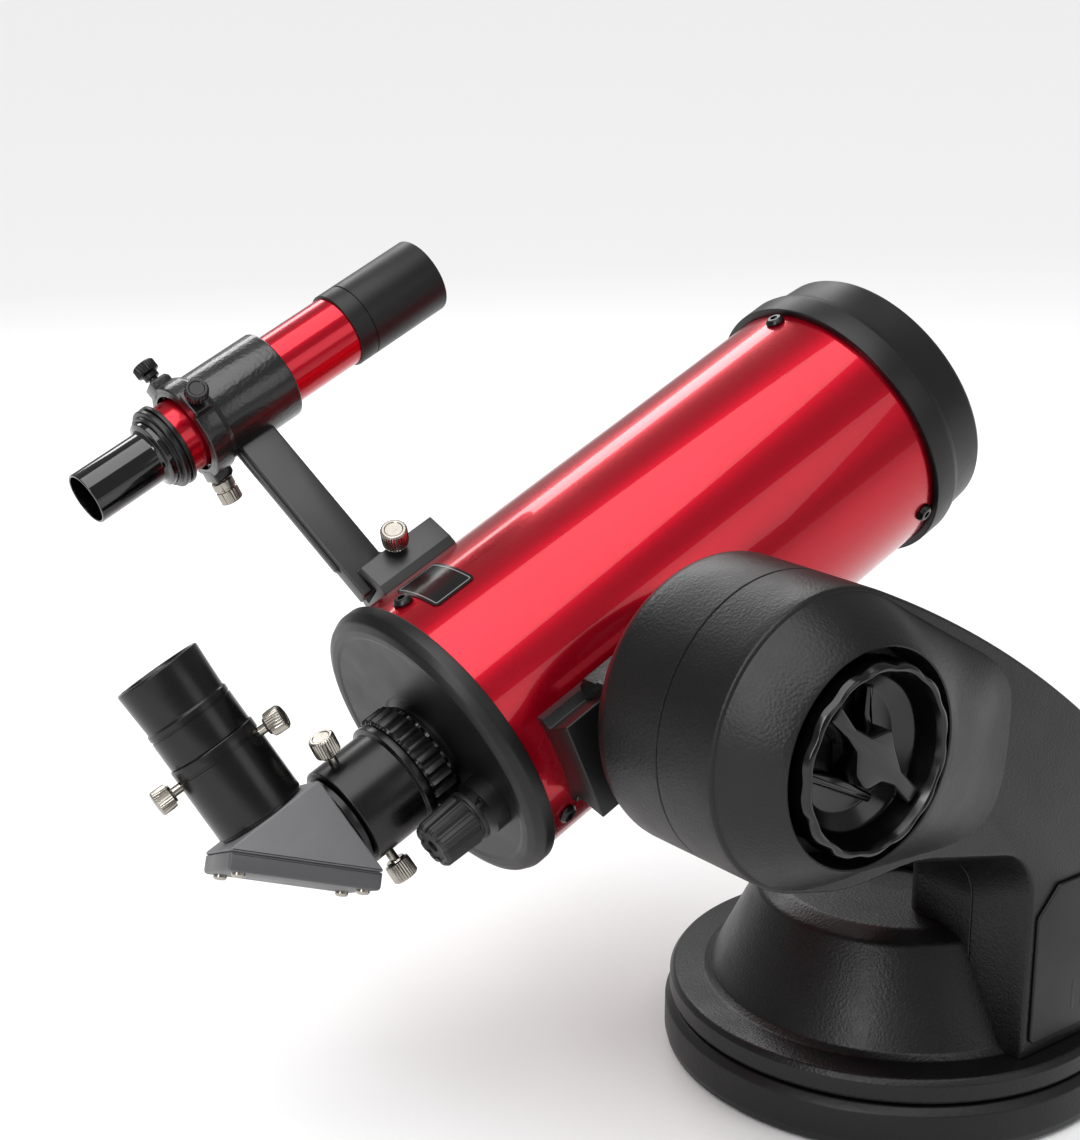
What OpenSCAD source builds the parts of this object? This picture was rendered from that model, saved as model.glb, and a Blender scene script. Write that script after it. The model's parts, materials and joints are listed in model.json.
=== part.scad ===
// Short-tube mirror-lens telescope with a star diagonal and a finder,
// carried on a single-arm altitude and azimuth mount head.
// Origin: centre of the base's underside, on the azimuth axis.
// +X is the way the tube points, +Y is away from the arm, +Z is up.
// Tube parts are drawn in the tube's own frame: X forward along the tube,
// its origin where the altitude axis crosses the tube's centre line.

/* [Optical tube] */
// Outside diameter of the main tube
tube_d = 116; // [115:0.5:117]
// Wall of the rolled metal tube
tube_wall = 1.5; // [1:0.1:2]
// Front end of the tube, from the altitude axis
tube_front = 162.8; // [161:0.1:162.8]
// Rear end of the tube, from the altitude axis
tube_back = -71.5; // [-71.5:0.1:-70]
// Clear radius of the meniscus corrector
lens_r = 54; // [52:0.5:54]
// Radius of the primary mirror
mirror_r = 52; // [48:0.5:53]
// Angle of the tube above the horizon at rest
tube_tilt = 24.3; // [5:0.1:60]

/* [Diagonal and eyepiece] */
// Turn of the diagonal about the tube's axis, from straight up
diagonal_turn = 27; // [0:1:60]
// Eyepiece axis, from the altitude axis
diagonal_x = -144; // [-145:0.5:-143]
// Radius of the standard eyepiece barrel
barrel_r = 15.9; // [15.85:0.01:15.92]
// Radius of the socket that takes the barrel
socket_r = 15.98; // [15.96:0.01:16]
// Length of the eyepiece holder
holder_len = 32.8; // [30:0.1:36]
// Height of the eyepiece above its holder
eyepiece_len = 34.2; // [30:0.1:40]

/* [Finder] */
// Angle of the finder's stalk round the tube, from straight up
finder_angle = 39.5; // [30:0.5:45]
// Distance between the finder's axis and the tube's axis
finder_h = 157.8; // [150:0.1:160]
// Radius of the finder's dew shield
finder_shield_r = 16.3; // [16:0.1:17]
// Radius of the finder's painted tube
finder_tube_r = 15.2; // [14.5:0.1:15.2]

/* [Mount] */
// Height of the altitude axis over the base's underside
alt_z = 200; // [198:1:220]
// Distance of the altitude axis behind the azimuth axis
alt_back = 138; // [136:1:142]
// Sideways distance of the tube's axis from the azimuth axis
tube_y = 58; // [56:0.5:60]
// Radius of the arm's round head
head_r = 56; // [54:0.5:58]
// Radius of the round base
base_r = 100; // [98:1:104]
// Height of the round base
base_h = 22; // [20:1:22]
// Radius of the clutch knob
clutch_r = 33.7; // [30:0.1:36]

/* [Hidden] */

round_fn = 96;                 // facets of a large round
small_fn = 48;                 // facets of a small round
tube_r = tube_d / 2;
tube_ri = tube_r - tube_wall;
alt_x = -alt_back;

// Cells at the two ends of the tube
lip_r = tube_r + 3.1;          // front cell's lip
rear_lip_r = tube_r + 2.7;     // rear cell's lip
plug_r = tube_ri - 0.1;        // the part of a cell that fits inside the tube
cell_front = 189.5;            // front rim
cell_back = -76;               // rear face
screw_front_x = 151.5;
screw_back_x = -57.8;
screw_angles = [4, 124, 244];
seat_x = 165.2;                // shoulder that the corrector rests on
lens_mid_x = 156.65;           // rear pole of the corrector
lens_front_R = 150;            // radii of curvature of the meniscus
lens_back_R = 156;
lens_t = 9;                    // thickness at the centre
mirror_x = -40;                // back of the primary mirror
mirror_t = 12;
mirror_R = 400;
mirror_hole_r = 16.4;
baffle_r = 13;
baffle_ri = 11.5;

// Focuser, off centre on the rear cell
focus_z = -12;
focus_y = -33.2;
focus_r = 10.4;
rod_r = 2.5;
mirror_travel = 7;             // of the mirror, each way from the middle of its range
bearing_front = -66;           // front of the focus rod's bearing in the rear cell
nut_back = bearing_front + mirror_travel + 0.5;
rod_front = mirror_x - mirror_travel - 0.4;
label_x = -43.5;               // middle of the label
motor_r = 9.5;
knob_back = -102.5;
knob_front = -84;

// Rear port
port_r = 18.5;                 // threaded stub that carries ring and adapter
port_back = -99;
lock_r = 24.3;
adapter_r = 21;
adapter_back = -119.5;
adapter_front = -91.3;
adapter_screw_x = -112;
adapter_screw_angles = [5, 205];

// Prism housing: a 45 degree triangle in the plane of tube and eyepiece
box_front = -123.4;
box_leg = 43.1;
box_top = 19.5;
box_half = 17.5;
box_wall = 2.5;
cover_t = 7;
holder_r = 18;
holder_screw_u = 46;
holder_screw_angles = [-32, -190];
eye_r = 17.3;

// Finder stations along the tube
sleeve_r = 19.1;
sleeve_ri = 16.9;
sleeve_back = -70;
sleeve_front = -25;
collar_front = -59;
adjust_x = -66;
adjuster_angles = [-4, -84];
plunger_angle = 150;
tip_gap = 0.6;                 // between the finder's tube and the screws that aim it
pivot_x = -29;                 // the O-ring that the finder tilts on
shield_back = 9.7;
shield_front = 55.9;
eye_tube_r = 10.4;
eye_back = -118;
stalk_x = [-57, -40];
stalk_t = 8;
shoe_x = [-53, -16];
shoe_top = 71.5;

// Arm, in planes across Y; the head's centre is the altitude axis
arm_in_y = -23.5;              // inner face of the arm
seam_y = -60.3;                // joint between the arm's two shells
arm_out_y = -88;               // flat outer face
hump_y = -108.5;               // rim of the knob's recess
recess_y = -92;
recess_r = 39.7;
wall = 3;
top_R = 562;                   // slow curve of the neck's top edge
top_start = 66;                // directions of its normal, at the head and at the elbow
top_end = 45.5;
elbow_r = 44;                  // outer bend
column_x = 116;                // inner edge of the column, from the head's centre
crook_r = 24;                  // inner bend under the neck
under_slope = 256;             // direction of the under edge's normal
arm_foot_z = 34.3;             // bottom of the arm, just over the turntable's disc
shaft_r = 12;
wheel_r = 34;
worm_r = 5;
worm_gap = 0.4;
disc_r = 98;                   // turntable's disc, under the arm
disc_top = 34;
pod_top = 75;
pod_r = [80, 61];
spindle_r = 15;
az_wheel_z = 44;
az_wheel_r = 36;

// ---- shared shapes ----

// Places its children in the tube's frame
module on_tube() translate([alt_x, tube_y, alt_z]) rotate([0, -tube_tilt, 0]) children();

// Places its children in the diagonal's frame: X along the tube, Z along the eyepiece
module on_diagonal() on_tube() rotate([-diagonal_turn, 0, 0]) children();

// Places its children in the finder's frame: Z out along the stalk
module on_finder() on_tube() rotate([-finder_angle, 0, 0]) children();

// Solid of revolution about X from [radius, x] points
module turned(points, fn = round_fn) rotate([0, 90, 0]) rotate_extrude($fn = fn) polygon(points);

// Straight rod along X
module rod(x0, x1, r, fn = round_fn)
    translate([x0, 0, 0]) rotate([0, 90, 0]) cylinder(h = x1 - x0, r = r, $fn = fn);

// Ring along X
module ring(x0, x1, ro, ri, fn = round_fn) difference() {
    rod(x0, x1, ro, fn);
    rod(x0 - 1, x1 + 1, ri, fn);
}

// Children moved to x and turned by angle about X, with Z pointing outwards
module radial(x, angle) rotate([-angle, 0, 0]) translate([x, 0, 0]) children();

// Depth of a spherical surface at radius r
function sag(r, R) = R - sqrt(R * R - r * r);

// Points of a spherical surface from its centre out to r
function dish(x0, r, R, n = 10) = [for (i = [0:n]) [r * i / n, x0 + sag(r * i / n, R)]];

// Arc points round [cx, cy]
function arc(c, r, a0, a1, n = 12) =
    [for (i = [0:n]) c + r * [cos(a0 + (a1 - a0) * i / n), sin(a0 + (a1 - a0) * i / n)]];

function flip(points) = [for (i = [len(points) - 1:-1:0]) points[i]];

// Thumbscrew along Z: threaded shank from z0, head from z1
module thumbscrew(z0, z1, head_r, head_h, shank_r = 1.9) {
    translate([0, 0, z0]) cylinder(h = z1 - z0, r = shank_r, $fn = small_fn);
    translate([0, 0, z1]) cylinder(h = head_h, r = head_r, $fn = small_fn);
}

// ---- optical tube ----

module main_tube() color("crimson") on_tube() difference() {
    ring(tube_back, tube_front, tube_r, tube_ri);
    for (a = screw_angles) {
        for (x = [screw_front_x, screw_back_x])
            radial(x, a) translate([0, 0, tube_ri - 3]) cylinder(h = 8, r = 2.1, $fn = small_fn);
    }
}

module front_cell() color("dimgray") on_tube() difference() {
    turned([
        [lens_r - 2.5, 146], [plug_r, 146], [plug_r, 163], [tube_r + 0.1, 163],
        [tube_r + 0.1, 157], [lip_r, 157], [lip_r, 168], [lip_r - 0.7, 171],
        [tube_r + 0.6, 171], [tube_r - 0.6, 187.5], [tube_r - 2, cell_front],
        [lens_r + 0.4, cell_front], [lens_r + 0.4, seat_x], [lens_r - 2.5, seat_x]
    ]);
    for (a = screw_angles)
        radial(screw_front_x, a) translate([0, 0, 48]) cylinder(h = 12, r = 1.95, $fn = small_fn);
}

module retaining_ring() color("dimgray") on_tube()
    ring(176, 180, lens_r + 0.3, lens_r - 3.5);

module corrector_lens() color("lightblue", 0.35) on_tube() turned(concat(
    dish(lens_mid_x, lens_r, lens_back_R),
    flip(dish(lens_mid_x + lens_t, lens_r, lens_front_R))));

module secondary_spot() color("silver") on_tube() turned(concat(
    dish(lens_mid_x - 0.4, 14, lens_back_R, 4),
    flip(dish(lens_mid_x - 0.05, 14, lens_back_R, 4))));

module secondary_baffle() color("black") on_tube() turned([
    [15.4, 157.3], [17.5, 157.3], [17.5, 155.8], [18.6, 126], [17.6, 126], [16.4, 155.8],
    [15.4, 155.8]]);

module primary_mirror() color("silver") on_tube() turned(concat(
    [[mirror_hole_r, mirror_x], [mirror_r, mirror_x]],
    [for (i = [8:-1:0]) let (r = mirror_hole_r + (mirror_r - mirror_hole_r) * i / 8)
        [r, mirror_x + mirror_t - sag(mirror_r, mirror_R) + sag(r, mirror_R)]]));

// Flange and sleeve of the mirror, with the nut that the focus rod turns in
module mirror_carrier() color("gray") on_tube() difference() {
    union() {
        turned([
            [baffle_r + 0.05, -46], [mirror_r - 4, -46], [mirror_r - 4, mirror_x - 0.2],
            [mirror_hole_r - 0.2, mirror_x - 0.2], [mirror_hole_r - 0.2, -24],
            [baffle_r + 0.05, -24]]);
        translate([0, focus_y, focus_z]) rod(nut_back, -45, 6, small_fn);
    }
    translate([0, focus_y, focus_z]) rod(nut_back - 1, -36, rod_r + 0.1, small_fn);
}

module baffle_tube() color("black") on_tube() difference() {
    union() {
        rod(-78, 45, baffle_r);
        rod(-78, -70.1, baffle_r + 3);
    }
    rod(-79, 46, baffle_ri);
}

module rear_cell() color("dimgray") on_tube() difference() {
    union() {
        turned([
            [0, cell_back + 0.8], [52.5, cell_back + 0.8], [53.5, cell_back],
            [rear_lip_r - 5, cell_back], [rear_lip_r - 2, cell_back + 1],
            [rear_lip_r - 0.5, cell_back + 3.2], [rear_lip_r, cell_back + 6],
            [rear_lip_r, -66.2], [tube_r + 0.1, -66.2], [tube_r + 0.1, -72],
            [plug_r, -72], [plug_r, -50], [plug_r - 3.4, -50], [plug_r - 3.4, -70],
            [0, -70]]);
        rod(port_back, cell_back + 1, port_r);
        translate([0, focus_y, focus_z]) rod(-70.5, bearing_front, 7);
    }
    rod(-79.9, -60, baffle_r + 3.02);
    rod(port_back - 1, -79, baffle_r + 1);
    translate([0, focus_y, focus_z]) rod(-80, -60, rod_r + 0.05, small_fn);
    for (a = screw_angles)
        radial(screw_back_x, a) translate([0, 0, 51]) cylinder(h = 8, r = 1.95, $fn = small_fn);
}

module tube_screws() color("black") on_tube() {
    for (a = screw_angles) {
        for (x = [screw_front_x, screw_back_x]) {
            radial(x, a) {
                translate([0, 0, 53.5]) cylinder(h = 5, r = 1.9, $fn = small_fn);
                translate([0, 0, tube_r + 0.02]) cylinder(h = 1.4, r = 4, $fn = small_fn);
                translate([0, 0, tube_r + 1.42]) cylinder(h = 1, r1 = 4, r2 = 2.6, $fn = small_fn);
            }
        }
    }
}

module focus_boss() color("dimgray") on_tube() translate([0, focus_y, focus_z]) {
    difference() {
        union() {
            rod(-82, cell_back + 0.75, 11.4, small_fn);
            for (a = [130, 310])
                translate([0, 8.6 * cos(a), 8.6 * sin(a)]) rod(-82.6, -81, 1.5, small_fn);
        }
        rod(-90, -70, rod_r + 0.05, small_fn);
        translate([0, -focus_y, -focus_z]) rod(-90, -70, lock_r + 0.4);
    }
}

module focus_rod() color("silver") on_tube() translate([0, focus_y, focus_z])
    rod(-98, rod_front, rod_r, small_fn);

module focus_knob() color("dimgray") on_tube() translate([0, focus_y, focus_z]) difference() {
    union() {
        for (i = [0:7]) {
            rotate([45 * i, 0, 0]) translate([0, 0, focus_r - 2.6])
                rod(knob_back + 1, knob_front - 2.5, 2.6, small_fn);
        }
        rod(knob_back, knob_front - 2, focus_r - 1.4, small_fn);
        rod(knob_front - 2.6, knob_front - 0.8, focus_r, small_fn);
    }
    rod(-98, -70, rod_r, small_fn);
}

module label_plate() color("black") on_tube() radial(label_x, 2.5) translate([-10, -14, 0])
    intersection() {
        translate([0, 0, 50]) cube([20, 28, 20]);
        translate([0, 14, 0]) ring(0, 20, tube_r + 0.5, tube_r + 0.05);
    }

module dovetail_bar() color("dimgray") on_tube() difference() {
    rotate([0, 90, 0]) translate([0, 0, -55]) linear_extrude(height = 100)
        polygon([[-20, -46], [20, -46], [20, -58], [16.5, -60.5], [22, -73], [-22, -73],
            [-16.5, -60.5], [-20, -58]]);
    rod(-60, 50, tube_r + 0.02);
}

// ---- rear port, diagonal and eyepiece ----

module visual_back_ring() color("black") on_tube() {
    ring(-91, -79.8, lock_r, port_r + 0.05);
    ring(-79.9, -77.8, 22, port_r + 0.05);
}

module eyepiece_adapter() color("black") on_tube() difference() {
    union() {
        rod(adapter_back, adapter_front - 1, adapter_r);
        rod(adapter_front - 3, adapter_front, adapter_r + 2);
    }
    rod(adapter_back - 1, adapter_front + 1, socket_r);
    rod(port_back - 0.5, adapter_front + 1, port_r + 0.05);
    for (a = adapter_screw_angles)
        radial(adapter_screw_x, a) cylinder(h = 30, r = 2, $fn = small_fn);
}

module adapter_screw(i) color("silver") on_tube()
    radial(adapter_screw_x, adapter_screw_angles[i])
        thumbscrew(socket_r + 0.2, adapter_r + 4, 5.2, 8.5);

module adapter_screw_a() adapter_screw(0);
module adapter_screw_b() adapter_screw(1);

module diagonal_nosepiece() color("black") on_diagonal() difference() {
    union() {
        rod(-119.7, -101, barrel_r);
        rod(box_front, -119.7, 17.5);
    }
    rod(-130, -100, 14);
}

// Triangle of the prism housing, shrunk by inset on its two legs
module housing_profile(inset, slant) polygon([
    [box_front - inset, box_top - inset],
    [box_front - box_leg + slant, box_top - inset],
    [box_front - inset, box_top - box_leg + slant]]);

module prism_slab(half, inset, slant) translate([0, half, 0]) rotate([90, 0, 0])
    linear_extrude(height = 2 * half) housing_profile(inset, slant);

module prism_housing() color("lightgray") on_diagonal() difference() {
    prism_slab(box_half, 0, 0);
    prism_slab(box_half - box_wall, box_wall, -3);
    rod(-140, -120, 14, small_fn);
    translate([diagonal_x, 0, 0]) cylinder(h = 40, r = 15, $fn = small_fn);
}

module on_cover() translate([box_front - box_leg / 2, 0, box_top - box_leg / 2])
    rotate([0, -135, 0]) children();

module prism_cover() color("gray") on_diagonal() on_cover()
    translate([-29.5, -box_half, 0.05]) cube([59, 2 * box_half, cover_t]);

module cover_screws() color("silver") on_diagonal() on_cover()
    for (x = [-24, 24]) {
        for (y = [-12.5, 12.5])
            translate([x, y, cover_t + 0.1]) cylinder(h = 1.8, r = 2.6, $fn = small_fn);
    }

module prism() color("lightblue", 0.35) on_diagonal() prism_slab(box_half - 2.8, 3, 3);

module eyepiece_holder() color("black") on_diagonal() translate([diagonal_x, 0, box_top + 0.05])
    difference() {
        cylinder(h = holder_len, r = holder_r, $fn = round_fn);
        translate([0, 0, -1]) cylinder(h = holder_len + 2, r = socket_r, $fn = round_fn);
        translate([0, 0, holder_len - 5]) difference() {
            cylinder(h = 0.8, r = holder_r + 1, $fn = round_fn);
            translate([0, 0, -0.5]) cylinder(h = 2, r = holder_r - 0.5, $fn = round_fn);
        }
        for (a = holder_screw_angles)
            translate([0, 0, holder_screw_u - box_top]) rotate([0, 90, a])
                cylinder(h = 30, r = 2, $fn = small_fn);
    }

module holder_screw(i) color("silver") on_diagonal()
    translate([diagonal_x, 0, holder_screw_u]) rotate([0, 90, holder_screw_angles[i]])
        thumbscrew(socket_r + 0.2, holder_r + 3.5, 5, 7.5);

module holder_screw_a() holder_screw(0);
module holder_screw_b() holder_screw(1);

// Places its children at the holder's mouth, with Z along the eyepiece
module on_eyepiece() on_diagonal() translate([diagonal_x, 0, box_top + holder_len + 0.1])
    children();

module eyepiece_barrel() color("silver") on_eyepiece() difference() {
    translate([0, 0, -26]) cylinder(h = 30, r = barrel_r, $fn = round_fn);
    translate([0, 0, -27]) cylinder(h = 32, r = 14.3, $fn = round_fn);
}

module eyepiece_body() color("black") on_eyepiece() rotate_extrude($fn = round_fn)
    polygon([
        [barrel_r + 0.01, 0], [eye_r, 0], [eye_r, 15.4], [eye_r - 0.5, 15.9],
        [eye_r - 0.5, 17], [eye_r + 0.2, eyepiece_len], [eye_r - 1.4, eyepiece_len],
        [eye_r - 3.3, 27], [9.2, 27], [9.2, 22], [12.2, 22], [12.2, 4.1], [barrel_r + 0.01, 4.1]]);

module eyepiece_lenses() color("lightblue", 0.35) on_eyepiece() {
    translate([0, 0, 22.2]) cylinder(h = 4, r = 9.1, $fn = small_fn);
    translate([0, 0, 7]) cylinder(h = 5, r = 12.1, $fn = small_fn);
}

// ---- finder ----

module finder_shoe() color("dimgray") on_finder() difference() {
    translate([shoe_x[0], 0, 0]) rotate([90, 0, 90])
        linear_extrude(height = shoe_x[1] - shoe_x[0]) polygon([
            [-13, 50], [13, 50], [13, 60], [9.8, shoe_top], [5, shoe_top], [7.8, 61],
            [-7.8, 61], [-5, shoe_top], [-9.8, shoe_top], [-13, 60]]);
    rod(-60, 0, tube_r + 0.05);
    for (s = [1, -1]) shoe_screw_place(s) cylinder(h = 30, r = 2, $fn = small_fn);
}

// Places a shoe screw on the near (-1) or far (1) jaw, with Z outwards
module shoe_screw_place(side) translate([-36, side * 4.4, 66])
    rotate([-side * 62, 0, 0]) children();

module shoe_screw_a() color("silver") on_finder() shoe_screw_place(-1)
    thumbscrew(2.2, 9, 5.4, 9);

module shoe_screw_b() color("black") on_finder() shoe_screw_place(1)
    thumbscrew(2.2, 9, 5.4, 9);

module finder_bracket() color("dimgray") on_finder() difference() {
    union() {
        translate([0, 0, finder_h]) {
            rod(sleeve_back, sleeve_front, sleeve_r);
            rod(sleeve_back, collar_front, sleeve_r + 1.6);
            for (a = concat(adjuster_angles, [plunger_angle]))
                radial(adjust_x, a) cylinder(h = 23.5, r = 4.6, $fn = small_fn);
        }
        translate([stalk_x[0], -stalk_t / 2, shoe_top - 1])
            cube([stalk_x[1] - stalk_x[0], stalk_t, finder_h - sleeve_r + 2 - shoe_top]);
        translate([shoe_x[0], 0, 0]) rotate([90, 0, 90])
            linear_extrude(height = shoe_x[1] - shoe_x[0])
                polygon([[-7.4, 61.4], [7.4, 61.4], [4.7, 71.2], [4, shoe_top + 1],
                    [-4, shoe_top + 1], [-4.7, 71.2]]);
        translate([stalk_x[0], -stalk_t / 2, 62])
            cube([stalk_x[1] - stalk_x[0], stalk_t, 12]);
    }
    translate([0, 0, finder_h]) {
        rod(sleeve_back - 1, sleeve_front + 1, sleeve_ri);
        for (a = adjuster_angles)
            radial(adjust_x, a) translate([0, 0, 10]) cylinder(h = 16, r = 2, $fn = small_fn);
        radial(adjust_x, plunger_angle) translate([0, 0, 10])
            cylinder(h = 16, r = 3.3, $fn = small_fn);
    }
}

// Places its children on the finder's own axis
module on_finder_axis() on_finder() translate([0, 0, finder_h]) children();

module finder_tube() color("crimson") on_finder_axis()
    ring(-77, 14, finder_tube_r, finder_tube_r - 1.2);

module finder_dew_shield() color("dimgray") on_finder_axis() turned([
    [finder_tube_r + 0.02, shield_back], [finder_shield_r, shield_back],
    [finder_shield_r, 17.8], [finder_shield_r - 0.4, 17.9], [finder_shield_r - 0.4, 18.4],
    [finder_shield_r, 18.5], [finder_shield_r, shield_front - 0.5],
    [finder_shield_r - 0.4, shield_front], [14.9, shield_front], [14.9, 20],
    [12.8, 20], [12.8, 15], [finder_tube_r + 0.02, 15]]);

module finder_objective() color("lightblue", 0.35) on_finder_axis() turned(concat(
    dish(20.2, 14.7, 70, 6), [for (p = flip(dish(0, 14.7, 70, 6))) [p[0], 27.5 - p[1]]]));

module finder_o_ring() color("black") on_finder_axis() translate([pivot_x, 0, 0])
    rotate([0, 90, 0]) rotate_extrude($fn = round_fn)
        translate([(sleeve_ri + finder_tube_r) / 2, 0]) circle(r = 0.8, $fn = 24);

module finder_lock_ring() color("black") on_finder_axis() {
    ring(-84, -80.4, 17.4, 14.1);
    ring(-80.5, -77.4, 16.6, 14.1);
}

module finder_eyepiece() color("black") on_finder_axis() difference() {
    union() {
        rod(-86, -72, 13.9);
        rod(eye_back + 2.5, -84, eye_tube_r);
        rod(eye_back, eye_back + 2.6, eye_tube_r - 0.5);
    }
    rod(eye_back - 1, -105, 9);
    rod(-110, -60, 8);
}

module finder_eye_lens() color("lightblue", 0.35) on_finder_axis() rod(-109.5, -105.2, 8.9, small_fn);

module adjuster(i) color("black") on_finder_axis() radial(adjust_x, adjuster_angles[i])
    thumbscrew(finder_tube_r + tip_gap, 26, 4.8, 6.5);

module adjuster_a() adjuster(0);
module adjuster_b() adjuster(1);

module plunger_barrel() color("silver") on_finder_axis() radial(adjust_x, plunger_angle)
    difference() {
        union() {
            translate([0, 0, 17.6]) cylinder(h = 8, r = 3.2, $fn = small_fn);
            translate([0, 0, 24]) cylinder(h = 10, r = 4.6, $fn = small_fn);
        }
        translate([0, 0, 17]) cylinder(h = 15, r = 2.1, $fn = small_fn);
    }

module plunger_pin() color("silver") on_finder_axis() radial(adjust_x, plunger_angle)
    translate([0, 0, finder_tube_r + tip_gap]) cylinder(h = 11.5, r = 2, $fn = small_fn);

// ---- saddle and altitude axis ----

module saddle() color("dimgray") on_tube() difference() {
    union() {
        translate([-37, -81, -37]) cube([74, 7.6, 67]);
        translate([-9, -74, -37]) cube([18, 12, 5]);
        rotate([0, 90, 0]) translate([0, 0, -37]) linear_extrude(height = 74)
            polygon([[-22.4, -73.6], [-17.2, -61.5], [-24, -61.5], [-29, -66], [-29, -73.6]]);
        translate([0, -75, 0]) rotate([90, 0, 0]) cylinder(h = 6, r = 40, $fn = round_fn);
    }
    translate([0, -69, -38]) cylinder(h = 7, r = 2.6, $fn = small_fn);
}

module saddle_jaw() color("dimgray") on_tube() difference() {
    rotate([0, 90, 0]) translate([0, 0, -26]) linear_extrude(height = 52)
        polygon([[22.7, -73.2], [17.5, -61.5], [24, -61.5], [29, -65], [29, -73.2]]);
    translate([0, -69, -35]) cylinder(h = 20, r = 2.55, $fn = small_fn);
}

module saddle_knob() color("black") on_tube() translate([0, -69, 0]) {
    translate([0, 0, -41]) cylinder(h = 16, r = 2.5, $fn = small_fn);
    translate([0, 0, -54]) cylinder(h = 14, r = 8.5, $fn = small_fn);
}

// Places its children on the altitude axis, with Z towards the knob, from the head's plane y
module on_altitude(y) translate([alt_x, y, alt_z]) rotate([90, 0, 0]) children();

module altitude_shaft() color("silver") on_altitude(arm_in_y + 0.45) {
    cylinder(h = 66.8, r = shaft_r, $fn = round_fn);
    cylinder(h = 80, r = 4, $fn = small_fn);
}

module altitude_wheel() color("goldenrod") on_altitude(-50) difference() {
    cylinder(h = 9, r = wheel_r, $fn = round_fn);
    translate([0, 0, -1]) cylinder(h = 11, r = shaft_r + 0.02, $fn = round_fn);
}

module altitude_worm() color("silver")
    translate([alt_x, -54.5, alt_z - wheel_r - worm_r - worm_gap]) {
        rod(-14, 14, worm_r, small_fn);
        rod(-18, 23, 2, small_fn);
    }

module clutch_knob() color("black") on_altitude(recess_y - 1) difference() {
    union() {
        rotate_extrude($fn = round_fn) polygon([
            [4.1, 0], [clutch_r - 4, 0], [clutch_r - 1, 2], [clutch_r, 6],
            [clutch_r, 17.5], [clutch_r - 1.5, 19.5], [clutch_r - 4, 19.5],
            [clutch_r - 5.5, 17.5], [clutch_r - 8, 6], [clutch_r - 12, 3.5], [4.1, 3.5]]);
        rotate([0, 0, -45]) translate([-clutch_r + 5, -4.5, 3]) cube([2 * clutch_r - 10, 9, 13.5]);
        translate([0, 0, 3]) cylinder(h = 13.5, r = 9, $fn = small_fn);
    }
    translate([0, 0, -1]) cylinder(h = 12, r = 4.1, $fn = small_fn);
    for (i = [0:13])
        rotate([0, 0, i * 360 / 14 + 5]) translate([clutch_r + 2.6, 0, -1])
            cylinder(h = 22, r = 4, $fn = small_fn);
}

// ---- arm ----

// Side outline of the arm about the head's centre, shrunk by inset
function arm_points(inset) = let (
        top_c = (head_r - top_R) * [cos(top_start), sin(top_start)],
        elbow_c = top_c + (top_R - elbow_r) * [cos(top_end), sin(top_end)],
        crook_x = column_x - crook_r,
        crook_z = (head_r + crook_r - crook_x * cos(under_slope)) / sin(under_slope),
        foot = arm_foot_z - alt_z + inset)
    concat(
        arc([0, 0], head_r - inset, top_start, under_slope, 36),
        flip(arc([crook_x, crook_z], crook_r + inset, 0, under_slope - 180, 8)),
        [[column_x + inset, foot], [elbow_c[0] + elbow_r - inset, foot]],
        arc(elbow_c, elbow_r - inset, 0, top_end, 10),
        arc(top_c, top_R - inset, top_end, top_start, 10));

module arm_slab(y0, y1, inset) on_altitude(y0)
    linear_extrude(height = y0 - y1) polygon(arm_points(inset));

// Room that the arm leaves for the turntable's dome
module pod_room() translate([0, 0, disc_top - 0.01]) {
    cylinder(h = pod_top - disc_top, r1 = pod_r[0] + 0.4, r2 = pod_r[1] + 0.4, $fn = round_fn);
    cylinder(h = pod_top - disc_top + 4.4, r = pod_r[1] + 0.4, $fn = round_fn);
}

module arm_inner_shell() color("dimgray") difference() {
    arm_slab(arm_in_y, seam_y + 0.1, 0);
    arm_slab(arm_in_y - wall, seam_y - 1, wall);
    on_altitude(arm_in_y + 1) cylinder(h = 10, r = shaft_r + 0.1, $fn = round_fn);
    pod_room();
}

// Raised boss round the knob's recess, running out along the neck
module hump() hull() {
    on_altitude(arm_out_y) cylinder(h = 0.5, r = head_r - 1.4, $fn = 64);
    on_altitude(hump_y + 0.5) cylinder(h = 0.5, r = recess_r + 1.5, $fn = 64);
    on_altitude(arm_out_y) linear_extrude(height = 0.5)
        polygon([[98, 2], [97, -40], [88, -62], [40, -52], [40, 40]]);
}

module arm_outer_shell() color("dimgray") difference() {
    union() {
        arm_slab(seam_y, arm_out_y, 0);
        hump();
    }
    arm_slab(seam_y + 1, arm_out_y + wall, wall);
    on_altitude(recess_y) cylinder(h = 30, r = recess_r, $fn = round_fn);
    on_altitude(arm_out_y + 5) cylinder(h = 30, r = shaft_r + 0.1, $fn = round_fn);
    pod_room();
}

// Battery cover on the column's outer face, with a pointed upper edge
module arm_panel() color("black") on_altitude(arm_out_y - 0.05) linear_extrude(height = 1.6)
    polygon([[122, -104], [134, -92], [194, -92], [194, -160], [122, -160]]);

module drive_motors() color("silver") {
    translate([alt_x, -54.5, alt_z - wheel_r - worm_r - worm_gap]) rod(23.2, 62, 12, small_fn);
    translate([0, az_wheel_r + worm_r + worm_gap, az_wheel_z]) {
        rod(-44, -24.2, motor_r, small_fn);
    }
}

// ---- turntable and base ----

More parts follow.
